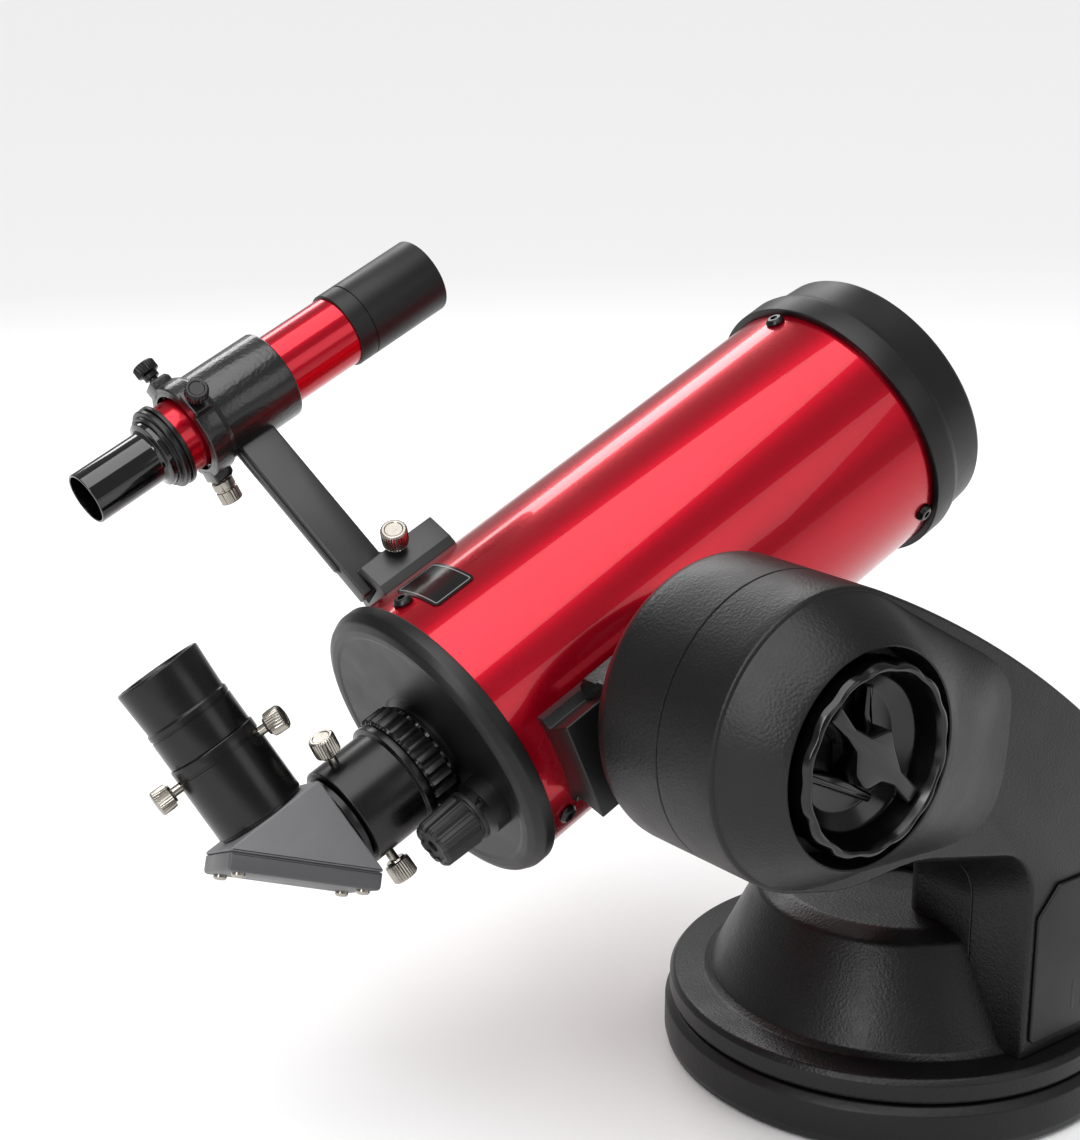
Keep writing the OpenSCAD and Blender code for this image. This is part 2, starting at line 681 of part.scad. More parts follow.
module turntable() color("dimgray") difference() {
    rotate_extrude($fn = round_fn) polygon([
        [0, base_h + 1.5], [disc_r - 1.5, base_h + 1.5], [disc_r, base_h + 3],
        [disc_r, disc_top - 2.5], [disc_r - 2.5, disc_top], [pod_r[0], disc_top],
        [pod_r[1], pod_top], [pod_r[1] - 3, pod_top + 2.6], [pod_r[1] - 9, pod_top + 4],
        [0, pod_top + 4]]);
    translate([0, 0, disc_top]) cylinder(
        h = pod_top - disc_top - 1, r1 = pod_r[0] - 4, r2 = pod_r[1] - 4, $fn = round_fn);
    translate([0, 0, base_h]) cylinder(h = 20, r = az_wheel_r + 3, $fn = round_fn);
    translate([0, 0, base_h]) cylinder(h = 54, r = spindle_r + 0.08, $fn = round_fn);
}

module base_body() color("dimgray") difference() {
    union() {
        rotate_extrude($fn = round_fn) polygon([
            [0, 0], [base_r - 4, 0], [base_r - 1, 2.5], [base_r, 6], [base_r, base_h - 3],
            [base_r - 3, base_h], [0, base_h]]);
        cylinder(h = pod_top, r = spindle_r, $fn = round_fn);
        translate([0, 0, az_wheel_z - 4]) cylinder(h = 8, r = az_wheel_r, $fn = round_fn);
    }
    translate([0, 0, -1]) cylinder(h = 15, r = 4, $fn = small_fn);
}

module azimuth_worm() color("silver")
    translate([0, az_wheel_r + worm_r + worm_gap, az_wheel_z]) {
        rod(-12, 12, worm_r, small_fn);
        rod(-24, 18, 2, small_fn);
    }

main_tube();
front_cell();
retaining_ring();
corrector_lens();
secondary_spot();
secondary_baffle();
primary_mirror();
mirror_carrier();
baffle_tube();
rear_cell();
tube_screws();
focus_boss();
focus_rod();
focus_knob();
label_plate();
dovetail_bar();
visual_back_ring();
eyepiece_adapter();
adapter_screw_a();
adapter_screw_b();
diagonal_nosepiece();
prism_housing();
prism_cover();
cover_screws();
prism();
eyepiece_holder();
holder_screw_a();
holder_screw_b();
eyepiece_barrel();
eyepiece_body();
eyepiece_lenses();
finder_shoe();
finder_bracket();
shoe_screw_a();
shoe_screw_b();
finder_tube();
finder_dew_shield();
finder_objective();
finder_o_ring();
finder_lock_ring();
finder_eyepiece();
finder_eye_lens();
adjuster_a();
adjuster_b();
plunger_barrel();
plunger_pin();
saddle();
saddle_jaw();
saddle_knob();
altitude_shaft();
altitude_wheel();
altitude_worm();
clutch_knob();
arm_inner_shell();
arm_outer_shell();
arm_panel();
drive_motors();
turntable();
base_body();
azimuth_worm();
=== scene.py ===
import json
import logging
import math
from dataclasses import dataclass, field
from enum import Enum
from typing import Callable, Optional, Sequence

import bmesh
import bpy
import numpy as np
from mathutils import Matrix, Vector


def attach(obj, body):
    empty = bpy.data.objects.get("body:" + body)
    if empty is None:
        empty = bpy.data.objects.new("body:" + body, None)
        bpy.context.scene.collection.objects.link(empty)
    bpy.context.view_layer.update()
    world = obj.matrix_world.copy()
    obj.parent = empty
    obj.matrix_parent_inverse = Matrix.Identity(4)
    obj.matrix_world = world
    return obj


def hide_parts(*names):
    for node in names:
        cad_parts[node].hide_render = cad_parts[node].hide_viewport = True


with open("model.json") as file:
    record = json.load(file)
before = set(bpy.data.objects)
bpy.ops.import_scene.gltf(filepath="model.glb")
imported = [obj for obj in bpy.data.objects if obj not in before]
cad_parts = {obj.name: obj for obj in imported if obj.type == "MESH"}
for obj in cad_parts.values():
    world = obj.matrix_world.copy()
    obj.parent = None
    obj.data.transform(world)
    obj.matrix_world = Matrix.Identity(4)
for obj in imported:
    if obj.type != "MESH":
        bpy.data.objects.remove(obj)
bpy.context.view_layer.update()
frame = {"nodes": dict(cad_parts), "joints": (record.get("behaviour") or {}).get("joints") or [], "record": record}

LOG = logging.getLogger("telescope")
MM = 0.001
TAU = 2.0 * math.pi
SHARP_ANGLE = math.radians(32.0)
Array = np.ndarray


class Body(str, Enum):
    """Rigid bodies of the frame that the pieces ride on."""

    BASE = "base"
    ARM = "arm"
    CLUTCH = "clutch"
    TELESCOPE = "telescope"
    FOCUSER = "focuser"
    LOCK_RING = "lock_ring"
    ADAPTER = "adapter"
    DIAGONAL = "diagonal"
    EYEPIECE = "eyepiece"
    FINDER_MOUNT = "finder_mount"
    FINDER = "finder"
    FINDER_RING = "finder_focus_ring"
    FINDER_OCULAR = "finder_ocular"
    ADAPTER_SCREW_A = "adapter_thumbscrew_a"
    ADAPTER_SCREW_B = "adapter_thumbscrew_b"
    HOLDER_SCREW_A = "holder_thumbscrew_a"
    HOLDER_SCREW_B = "holder_thumbscrew_b"
    AIM_SCREW_A = "finder_adjuster_a"
    AIM_SCREW_B = "finder_adjuster_b"
    SHOE_SCREW_A = "shoe_thumbscrew_a"
    SHOE_SCREW_B = "shoe_thumbscrew_b"


# ---------------------------------------------------------------- finishes


def linear(hex_colour: str) -> tuple[float, float, float, float]:
    """Turn an sRGB hex colour into linear RGBA.

    Args:
        hex_colour: Colour such as "#b8001c".

    Returns:
        Linear red, green, blue and an alpha of one.
    """
    channels = [int(hex_colour[i:i + 2], 16) / 255.0 for i in (1, 3, 5)]
    values = [c / 12.92 if c <= 0.04045 else ((c + 0.055) / 1.055) ** 2.4 for c in channels]
    return (values[0], values[1], values[2], 1.0)


def add_node(tree: bpy.types.NodeTree, kind: str, inputs: Optional[dict] = None,
             **settings) -> bpy.types.Node:
    """Add a shader node with its settings, values and links.

    Args:
        tree: Node tree that takes the node.
        kind: Node type, such as "ShaderNodeTexNoise".
        inputs: Socket name or index to a value, or to an output socket to link.
        **settings: Attributes of the node.

    Returns:
        The new node.
    """
    node = tree.nodes.new(kind)
    for key, value in settings.items():
        setattr(node, key, value)
    for key, value in (inputs or {}).items():
        if isinstance(value, bpy.types.NodeSocket):
            tree.links.new(value, node.inputs[key])
        else:
            node.inputs[key].default_value = value
    return node


@dataclass(frozen=True)
class Grain:
    """A surface texture drawn as bump, from one noise or cell pattern.

    Attributes:
        pitch_mm: Distance between the pattern's features.
        depth_mm: Height of the pattern.
        cells: True for rounded cells, as in hammered paint; False for noise.
        detail: Octaves of the noise.
    """

    pitch_mm: float
    depth_mm: float
    cells: bool = False
    detail: float = 3.0


@dataclass(frozen=True)
class Finish:
    """A painted, moulded, plated or anodised surface.

    Attributes:
        name: Material name, the common name of the real finish.
        slot: Material slot of the record that it stands for.
        colour: Main sRGB colour.
        shade: Second sRGB colour, mixed in by slow noise.
        metallic: Metalness of the base.
        roughness: Middle roughness.
        spread: How far the roughness wanders either way.
        ior: Index of refraction, where the base isn't a metal.
        coat: Weight of a clear top coat.
        coat_roughness: Roughness of that coat.
        grains: Textures of the surface, coarse to fine.
        mottle_mm: Size of the slow changes in colour and roughness.
        specular: Specular level, a half for plain dielectrics.
    """

    name: str
    slot: str
    colour: str
    shade: str
    metallic: float = 0.0
    roughness: float = 0.4
    spread: float = 0.05
    ior: float = 1.5
    coat: float = 0.0
    coat_roughness: float = 0.05
    grains: tuple[Grain, ...] = ()
    mottle_mm: float = 25.0
    specular: float = 0.5

    def material(self) -> bpy.types.Material:
        """Build the material once, under its own name.

        Returns:
            The material.
        """
        made = bpy.data.materials.get(self.name)
        if made is not None:
            return made
        material = bpy.data.materials.new(self.name)
        material.use_nodes = True
        tree = material.node_tree
        tree.nodes.clear()
        place = add_node(tree, "ShaderNodeTexCoord").outputs["Object"]
        slow = add_node(tree, "ShaderNodeTexNoise", {
            "Vector": place, "Scale": 1.0 / (self.mottle_mm * MM), "Detail": 3.0, "Roughness": 0.6})
        colour = add_node(tree, "ShaderNodeMix", {
            0: slow.outputs["Fac"], 6: linear(self.colour), 7: linear(self.shade)}, data_type="RGBA")
        rough = add_node(tree, "ShaderNodeMapRange", {
            0: slow.outputs["Fac"], 1: 0.3, 2: 0.7,
            3: max(0.02, self.roughness - self.spread), 4: self.roughness + self.spread})
        values = {
            "Base Color": colour.outputs[2], "Roughness": rough.outputs[0], "Metallic": self.metallic,
            "IOR": self.ior, "Coat Weight": self.coat, "Coat Roughness": self.coat_roughness,
            "Specular IOR Level": self.specular}
        normal = self._normal(tree, place)
        if normal is not None:
            values["Normal"] = normal
        shader = add_node(tree, "ShaderNodeBsdfPrincipled", values)
        add_node(tree, "ShaderNodeOutputMaterial", {"Surface": shader.outputs[0]})
        return material

    def _normal(self, tree: bpy.types.NodeTree,
                place: bpy.types.NodeSocket) -> Optional[bpy.types.NodeSocket]:
        """Chain one bump node per grain.

        Args:
            tree: Node tree that takes the nodes.
            place: Socket with the object's coordinates.

        Returns:
            The last normal, or None where there is no grain.
        """
        normal = None
        for grain in self.grains:
            scale = 1.0 / (grain.pitch_mm * MM)
            if grain.cells:
                pattern = add_node(tree, "ShaderNodeTexVoronoi", {
                    "Vector": place, "Scale": scale, "Smoothness": 0.6}, feature="SMOOTH_F1")
            else:
                pattern = add_node(tree, "ShaderNodeTexNoise", {
                    "Vector": place, "Scale": scale, "Detail": grain.detail, "Roughness": 0.55})
            values = {"Height": pattern.outputs[0], "Distance": grain.depth_mm * MM, "Strength": 1.0}
            if normal is not None:
                values["Normal"] = normal
            normal = add_node(tree, "ShaderNodeBump", values).outputs[0]
        return normal


@dataclass(frozen=True)
class FlakeEnamel(Finish):
    """Metallic enamel: fine aluminium flake in a red base, under a hard clear coat.

    Attributes:
        flake_mm: Size of a flake's glint, drawn coarser than the real 0.05 mm so that it shows.
    """

    flake_mm: float = 0.45

    def _normal(self, tree: bpy.types.NodeTree,
                place: bpy.types.NodeSocket) -> Optional[bpy.types.NodeSocket]:
        """Tilt the base with small flat flakes.

        Args:
            tree: Node tree that takes the nodes.
            place: Socket with the object's coordinates.

        Returns:
            The flakes' normal.
        """
        flakes = add_node(tree, "ShaderNodeTexVoronoi", {
            "Vector": place, "Scale": 1.0 / (self.flake_mm * MM)}, feature="F1")
        tilt = add_node(tree, "ShaderNodeBump", {
            "Height": flakes.outputs["Color"], "Distance": 0.004 * MM, "Strength": 1.0})
        return tilt.outputs[0]


@dataclass(frozen=True)
class OpticalGlass:
    """Polished crown glass with a thin green-blue coating, which tints what it reflects.

    Attributes:
        name: Material name.
        slot: Material slot of the record.
        tint: sRGB colour of the glass.
        ior: Index of refraction of crown glass.
    """

    name: str = "coated_crown_glass"
    slot: str = "lens_glass"
    tint: str = "#dcefe9"
    ior: float = 1.517

    def material(self) -> bpy.types.Material:
        """Build the material once, under its own name.

        Returns:
            The material.
        """
        made = bpy.data.materials.get(self.name)
        if made is not None:
            return made
        material = bpy.data.materials.new(self.name)
        material.use_nodes = True
        tree = material.node_tree
        tree.nodes.clear()
        place = add_node(tree, "ShaderNodeTexCoord").outputs["Object"]
        haze = add_node(tree, "ShaderNodeTexNoise",
                        {"Vector": place, "Scale": 1.0 / (12.0 * MM), "Detail": 4.0})
        rough = add_node(tree, "ShaderNodeMapRange",
                         {0: haze.outputs["Fac"], 1: 0.5, 2: 0.8, 3: 0.0, 4: 0.03})
        shader = add_node(tree, "ShaderNodeBsdfPrincipled", {
            "Base Color": linear(self.tint), "Roughness": rough.outputs[0], "IOR": self.ior,
            "Transmission Weight": 1.0, "Coat Weight": 0.3, "Coat Tint": linear("#7fe0c0")})
        add_node(tree, "ShaderNodeOutputMaterial", {"Surface": shader.outputs[0]})
        return material


PEBBLE = (Grain(1.15, 0.09, cells=True), Grain(0.45, 0.025))
# Deep metallic red under clear lacquer: the flake gives the colour its lit and dark sides
RED_ENAMEL = FlakeEnamel("metallic_red_enamel", "red_gloss", "#c20022", "#ac001b", metallic=0.78,
                         roughness=0.27, spread=0.02, coat=0.5, coat_roughness=0.03, mottle_mm=60.0,
                         specular=0.25)
# Moulded ABS with a light spark-eroded texture, which swallows part of the reflection: soft grey highlights
SATIN_ABS = Finish("satin_moulded_abs", "cell_black", "#0c0c0d", "#08080a", roughness=0.42, ior=1.54,
                   grains=(Grain(0.5, 0.018),), specular=0.33)
# The mount's ABS has a coarser leather-like pebble, which breaks a highlight into specks
PEBBLED_ABS = Finish("pebbled_moulded_abs", "mount_black", "#0b0b0c", "#070708", roughness=0.40, ior=1.54,
                     grains=PEBBLE, specular=0.32)
# Hammered paint on a casting: glossy, with rounded cells about 1.5 mm apart
HAMMERED_PAINT = Finish("hammered_black_paint", "cast_black", "#0b0b0c", "#070708", roughness=0.30,
                        coat=0.35, coat_roughness=0.12,
                        grains=(Grain(1.5, 0.10, cells=True), Grain(0.5, 0.02)))
# Plain satin paint on the bracket's flat machined faces
SATIN_PAINT = Finish("satin_black_paint", "cast_black", "#1a1a1b", "#141415", roughness=0.38, coat=0.2,
                     coat_roughness=0.2, grains=(Grain(0.6, 0.008),))
# Anodised aluminium dyed black: metallic under a thin oxide, with fine turning marks
BLACK_ANODISED = Finish("black_anodised_aluminium", "anodised_black", "#0b0b0c", "#070708", metallic=0.25,
                        roughness=0.28, grains=(Grain(0.35, 0.006),))
# Polished acetal: near-mirror black
POLISHED_ACETAL = Finish("polished_black_acetal", "gloss_black", "#050506", "#040405", roughness=0.10,
                         spread=0.03, ior=1.48, coat=0.5, coat_roughness=0.03)
KNOB_ABS = Finish("glossy_moulded_abs", "gloss_black", "#050506", "#030304", roughness=0.20, spread=0.05,
                  ior=1.54, grains=(Grain(2.5, 0.01),), specular=0.4)
RUBBER = Finish("ribbed_nitrile_rubber", "knob_rubber", "#101011", "#0b0b0c", roughness=0.50, ior=1.52,
                grains=(Grain(0.4, 0.02),))
# Nickel plate over knurled brass: warm white metal
NICKEL_PLATE = Finish("nickel_plated_brass", "nickel", "#aba69d", "#9b968e", metallic=1.0, roughness=0.22,
                      spread=0.05, grains=(Grain(0.8, 0.006),), mottle_mm=5.0)
# Powder coat: fine orange peel on a die casting
GREY_POWDER = Finish("grey_powder_coat", "housing_grey", "#6a6a6c", "#5e5e60", roughness=0.50,
                     grains=(Grain(0.55, 0.03), Grain(0.25, 0.012)), mottle_mm=12.0)
# Darker copy of the housing's grey powder coat for the cover plate: painted shade for the housing's downward face,
# not a second paint
SHADED_GREY_POWDER = Finish("grey_powder_painted_shade", "housing_grey", "#4a4a4c", "#3f3f41", roughness=0.46,
                     grains=(Grain(0.55, 0.03),))
TURNED_STEEL = Finish("turned_steel", "steel", "#a9a9ab", "#97979a", metallic=1.0, roughness=0.28,
                      mottle_mm=4.0)
TURNED_ALUMINIUM = Finish("turned_aluminium", "aluminium", "#b8b9bb", "#a9aaad", metallic=1.0,
                          roughness=0.30, mottle_mm=4.0)
GEAR_BRASS = Finish("machined_brass", "brass", "#c9a14e", "#b58d3f", metallic=1.0, roughness=0.25,
                    mottle_mm=4.0)
MIRROR_FILM = Finish("vacuum_aluminised_glass", "mirror_coat", "#e8ebee", "#e2e5e9", metallic=1.0,
                     roughness=0.03, spread=0.005)
SPOT_FILM = Finish("vacuum_aluminised_spot", "spot_coat", "#e8ebee", "#e2e5e9", metallic=1.0,
                   roughness=0.03, spread=0.005)
CRACKLE_IRON = Finish("crackle_painted_iron", "base_black", "#0c0c0d", "#080809", roughness=0.45,
                      grains=(Grain(1.8, 0.07, cells=True), Grain(0.6, 0.03)), specular=0.35)
LABEL_FOIL = Finish("printed_black_foil", "label_black", "#070708", "#050506", roughness=0.22,
                    spread=0.04)
SILVER_PRINT = Finish("silver_printed_line", "label_black", "#b9b9b9", "#a9a9a9", metallic=0.8,
                      roughness=0.35)
GLASS = OpticalGlass()
FLOOR_PAPER = Finish("pale_seamless_paper", "", "#f7f7f7", "#f5f5f5", roughness=0.85, mottle_mm=400.0)
# The finish that stands for each slot on a CAD part with none of its own
PLAIN_FINISHES = (RED_ENAMEL, SATIN_ABS, PEBBLED_ABS, SATIN_PAINT, BLACK_ANODISED, KNOB_ABS, RUBBER,
                  NICKEL_PLATE, SHADED_GREY_POWDER, TURNED_STEEL, TURNED_ALUMINIUM, GEAR_BRASS, MIRROR_FILM,
                  SPOT_FILM, CRACKLE_IRON, LABEL_FOIL, GLASS)


# ---------------------------------------------------------------- geometry


@dataclass(frozen=True)
class Axes:
    """A right-handed set of axes in the row frame: along, side and up, in millimetres.

    Attributes:
        origin: Origin, in millimetres.
        along: Unit vector of local X.
        side: Unit vector of local Y.
        up: Unit vector of local Z.
    """

    origin: Array
    along: Array
    side: Array
    up: Array

    @staticmethod
    def facing(origin: Array, along: Array, up_hint: Array) -> "Axes":
        """Make axes from a direction and a rough up direction.

        Args:
            origin: Origin, in millimetres.
            along: Direction of local X.
            up_hint: Direction that local Z leans towards.

        Returns:
            The axes.
        """
        x = np.asarray(along, float) / np.linalg.norm(along)
        z = np.asarray(up_hint, float) - np.dot(up_hint, x) * x
        z /= np.linalg.norm(z)
        return Axes(np.asarray(origin, float), x, np.cross(z, x), z)

    def out(self, points: Array) -> Array:
        """Return local points, in millimetres, as points of the row frame in metres."""
        points = np.asarray(points, float)
        turned = points[..., 0:1] * self.along + points[..., 1:2] * self.side + points[..., 2:3] * self.up
        return (self.origin + turned) * MM

    def shifted(self, x: float = 0.0, y: float = 0.0, z: float = 0.0) -> "Axes":
        """Return the same axes with the origin moved by local x, y and z."""
        move = x * self.along + y * self.side + z * self.up
        return Axes(self.origin + move, self.along, self.side, self.up)

    def rolled(self, degrees: float) -> "Axes":
        """Return the axes turned about local X, so that up leans towards side."""
        c, s = math.cos(math.radians(degrees)), math.sin(math.radians(degrees))
        return Axes(self.origin, self.along, c * self.side - s * self.up, c * self.up + s * self.side)

    def upright(self) -> "Axes":
        """Return axes whose along is this up, for pieces that stand on this frame."""
        return Axes(self.origin, self.up, self.side, -self.along)


@dataclass
class Shell:
    """Vertices and faces that are gathered into one mesh.

    Attributes:
        points: Blocks of vertices, in metres.
        faces: Faces as lists of vertex numbers.
        count: Number of vertices so far.
    """

    points: list[Array] = field(default_factory=list)
    faces: list[list[int]] = field(default_factory=list)
    count: int = 0

    def grid(self, points: Array, wrap_u: bool = True, wrap_v: bool = False,
             cap: bool = False) -> "Shell":
        """Add a grid of points, points[i, j], as quads between neighbours.

        Args:
            points: Array of rows by columns by 3, in metres.
            wrap_u: True joins the last column to the first.
            wrap_v: True joins the last row to the first.
            cap: True closes the first and last rows with a flat face each.

        Returns:
            This shell.
        """
        rows, cols = points.shape[:2]
        number = np.arange(rows * cols).reshape(rows, cols) + self.count
        lines = np.vstack([number, number[:1]]) if wrap_v else number
        table = np.hstack([lines, lines[:, :1]]) if wrap_u else lines
        quads = np.stack([table[:-1, :-1], table[:-1, 1:], table[1:, 1:], table[1:, :-1]], -1)
        self.faces.extend(quads.reshape(-1, 4).tolist())
        if cap:
            self.faces.append(number[0, ::-1].tolist())
            self.faces.append(number[-1].tolist())
        self.points.append(points.reshape(-1, 3))
        self.count += rows * cols
        return self

    def piece(self, name: str, finish, body: Body, replaces: Sequence[str] = (),
              sharp: float = SHARP_ANGLE) -> bpy.types.Object:
        """Turn the gathered faces into a piece that rides on a body.

        Args:
            name: Name of the piece.
            finish: Finish that makes its material.
            body: Body that it rides on.
            replaces: CAD nodes that it stands for.
            sharp: Angle between faces past which an edge is sharp.

        Returns:
            The new object.
        """
        mesh = bpy.data.meshes.new(name)
        mesh.from_pydata(np.vstack(self.points).tolist(), [], self.faces)
        work = bmesh.new()
        work.from_mesh(mesh)
        bmesh.ops.remove_doubles(work, verts=work.verts, dist=2e-6)
        bmesh.ops.dissolve_degenerate(work, edges=work.edges, dist=1e-7)
        bmesh.ops.recalc_face_normals(work, faces=work.faces)
        work.to_mesh(mesh)
        work.free()
        mesh.polygons.foreach_set("use_smooth", [True] * len(mesh.polygons))
        mesh.set_sharp_from_angle(angle=sharp)
        mesh.materials.append(finish.material())
        piece = bpy.data.objects.new(name, mesh)
        bpy.context.scene.collection.objects.link(piece)
        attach(piece, body.value)
        if replaces:
            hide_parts(*replaces)
        LOG.info("%s on %s: %d faces", name, body.value, len(mesh.polygons))
        return piece


def rounded(points: Sequence[Sequence[float]], closed: bool = True, steps: int = 5) -> Array:
    """Round the corners of an outline.

    Each corner C is (a, b, radius). A curve from A to B on its two edges takes its place, where A and B
    lie radius / tan(half the corner's angle) from C, or 45% of the shorter edge if that is less:
    0.83 ((1-t)^2 A + 2t(1-t) C + t^2 B) + 0.17 (A + t(B - A)), which stays close to an arc.

    Args:
        points: Corners as (a, b) or (a, b, radius).
        closed: True if the last corner joins the first.
        steps: Segments of each curve.

    Returns:
        Points of the rounded outline.
    """
    corners = np.array([p[:2] for p in points], float)
    radii = [p[2] if len(p) > 2 else 0.0 for p in points]
    out: list[Array] = []
    last = len(corners) - 1
    for i, (corner, radius) in enumerate(zip(corners, radii)):
        if radius <= 0.0 or (not closed and i in (0, last)):
            out.append(corner)
            continue
        back = corners[i - 1] - corner
        ahead = corners[(i + 1) % len(corners)] - corner
        room = 0.45 * min(np.linalg.norm(back), np.linalg.norm(ahead))
        back /= np.linalg.norm(back)
        ahead /= np.linalg.norm(ahead)
        half = math.acos(float(np.clip(np.dot(back, ahead), -1.0, 1.0))) / 2.0
        if abs(half - math.pi / 2.0) < 1e-3:
            out.append(corner)
            continue
        reach = min(radius / math.tan(half), room)
        start, end = corner + reach * back, corner + reach * ahead
        for t in np.linspace(0.0, 1.0, steps + 1):
            bend = (1 - t) ** 2 * start + 2 * t * (1 - t) * corner + t ** 2 * end
            chord = start + (end - start) * t
            out.append(0.83 * bend + 0.17 * chord)
    return np.array(out)


def spaced(outline: Array, step: float) -> Array:
    """Add points along a closed outline, so that a bent plate follows the surface under it.

    Args:
        outline: Points of the outline.
        step: Longest distance between neighbours.

    Returns:
        The points with others evenly between them.
    """
    run = np.roll(outline, -1, 0) - outline
    count = np.ceil(np.linalg.norm(run, axis=1) / step).astype(int)
    first = np.repeat(np.cumsum(count) - count, count)
    share = (np.arange(count.sum()) - first) / np.repeat(count, count)
    return np.repeat(outline, count, 0) + np.repeat(run, count, 0) * share[:, None]


def offset(outline: Array, inset: float) -> Array:
    """Move a closed outline inwards: each point goes along the mean normal of its two edges.

    Args:
        outline: Points of the outline, counterclockwise.
        inset: Distance to move.

    Returns:
        The moved points.
    """
    ahead = np.roll(outline, -1, 0) - outline
    ahead /= np.maximum(np.linalg.norm(ahead, axis=1, keepdims=True), 1e-9)
    behind = np.roll(ahead, 1, 0)
    normals = np.stack([-(ahead[:, 1] + behind[:, 1]), ahead[:, 0] + behind[:, 0]], 1)
    square = np.maximum((normals ** 2).sum(1, keepdims=True), 0.4)
    return outline + 2.0 * inset * normals / square


def revolve(shell: Shell, axes: Axes, profile: Sequence[Sequence[float]], segments: int = 128,
            wave: Optional[Callable[[Array, Array, Array], Array]] = None, closed: bool = True) -> Shell:
    """Add a solid of revolution: a profile (radius, x) turned about local X.

    Point(i, t) = (x_i, r sin t, r cos t), where r is the profile's radius, changed by wave.

    Args:
        shell: Shell that takes the surface.
        axes: Local axes.
        profile: Corners (radius, x) or (radius, x, rounding).
        segments: Steps round the axis.
        wave: Function of angle, x and radius that gives the new radius.
        closed: True if the profile is a closed ring.

    Returns:
        The shell.
    """
    outline = rounded(profile, closed)
    angle = np.linspace(0.0, TAU, segments, endpoint=False)[None, :]
    x = np.repeat(outline[:, 1:2], segments, 1)
    r = np.repeat(outline[:, 0:1], segments, 1)
    turn = np.repeat(angle, len(outline), 0)
    if wave is not None:
        r = wave(turn, x, r)
    return shell.grid(axes.out(np.stack([x, r * np.sin(turn), r * np.cos(turn)], -1)), wrap_v=closed)


def slab(shell: Shell, axes: Axes, corners: Sequence[Sequence[float]], low: float, high: float,
         edge: float = 0.4) -> Shell:
    """Add a plate: a rounded outline in local X and Z, carried along local Y, with rounded edges.

    The outline shrinks by edge (1 - sin a) while y moves edge (1 - cos a) from each face.

    Args:
        shell: Shell that takes the surface.
        axes: Local axes.
        corners: Corners (x, z) or (x, z, rounding), counterclockwise.
        low: Local y of one face.
        high: Local y of the other face.
        edge: Radius of the rounding at both faces.

    Returns:
        The shell.
    """
    outline = rounded(corners)
    turns = np.linspace(0.0, math.pi / 2.0, 4)
    first = [(edge * (1 - math.sin(a)), low + edge * (1 - math.cos(a))) for a in turns]
    second = [(inset, high + low - y) for inset, y in first[::-1]]
    rows = []
    for inset, y in first + second:
        ring = offset(outline, inset)
        rows.append(np.stack([ring[:, 0], np.full(len(ring), y), ring[:, 1]], -1))
    return shell.grid(axes.out(np.array(rows)), cap=True)


def ribs(count: int, depth: float, low: float, high: float,
         sharpness: float = 1.0) -> Callable[[Array, Array, Array], Array]:
    """Make a wave of straight ribs: r - depth (0.5 - 0.5 cos(count t))^sharpness, where low <= x <= high.

    Args:
        count: Number of ribs.
        depth: Depth of the grooves.
        low: Lowest x with ribs.
        high: Highest x with ribs.
        sharpness: Above one narrows the grooves, below one widens them.

    Returns:
        The wave function.
    """
    def wave(turn: Array, x: Array, r: Array) -> Array:
        """Return the ribbed radius."""
        groove = (0.5 - 0.5 * np.cos(count * turn)) ** sharpness
        inside = (x >= low) & (x <= high) & (r > 0.6 * r.max())
        return r - depth * groove * inside
    return wave


def joint(name: str) -> dict:
    """Return a joint of the frame by its name."""
    return next(j for j in frame["joints"] if j["name"] == name)


def vec(values: Sequence[float]) -> Array:
    """Return numbers as an array."""
    return np.array(values, float)


def make_tube_axes() -> Axes:
    """Work out the tube's axes from the frame's joints.

    Returns:
        Axes with the origin on the tube's centre line, beside the altitude axis, and X forward.
    """
    on_axis = vec(joint("adapter_turn")["pos_m"]) / MM
    along = vec(joint("adapter_turn")["axis"])
    altitude = vec(joint("altitude")["pos_m"]) / MM
    origin = on_axis + along * np.dot(altitude - on_axis, along)
    return Axes.facing(origin, along, vec([0.0, 0.0, 1.0]))


TUBE = make_tube_axes()
ALTITUDE = vec([joint("altitude")["pos_m"][0], 0.0, joint("altitude")["pos_m"][2]]) / MM


def screw_axes(joint_name: str, reach: float) -> Axes:
    """Return axes along a thumbscrew's joint, with the origin reach mm inside of the joint's point."""
    turn = joint(joint_name)
    along = vec(turn["axis"])
    hint = TUBE.along if abs(np.dot(TUBE.along, along)) < 0.9 else TUBE.up
    return Axes.facing(vec(turn["pos_m"]) / MM - along * reach, along, hint)


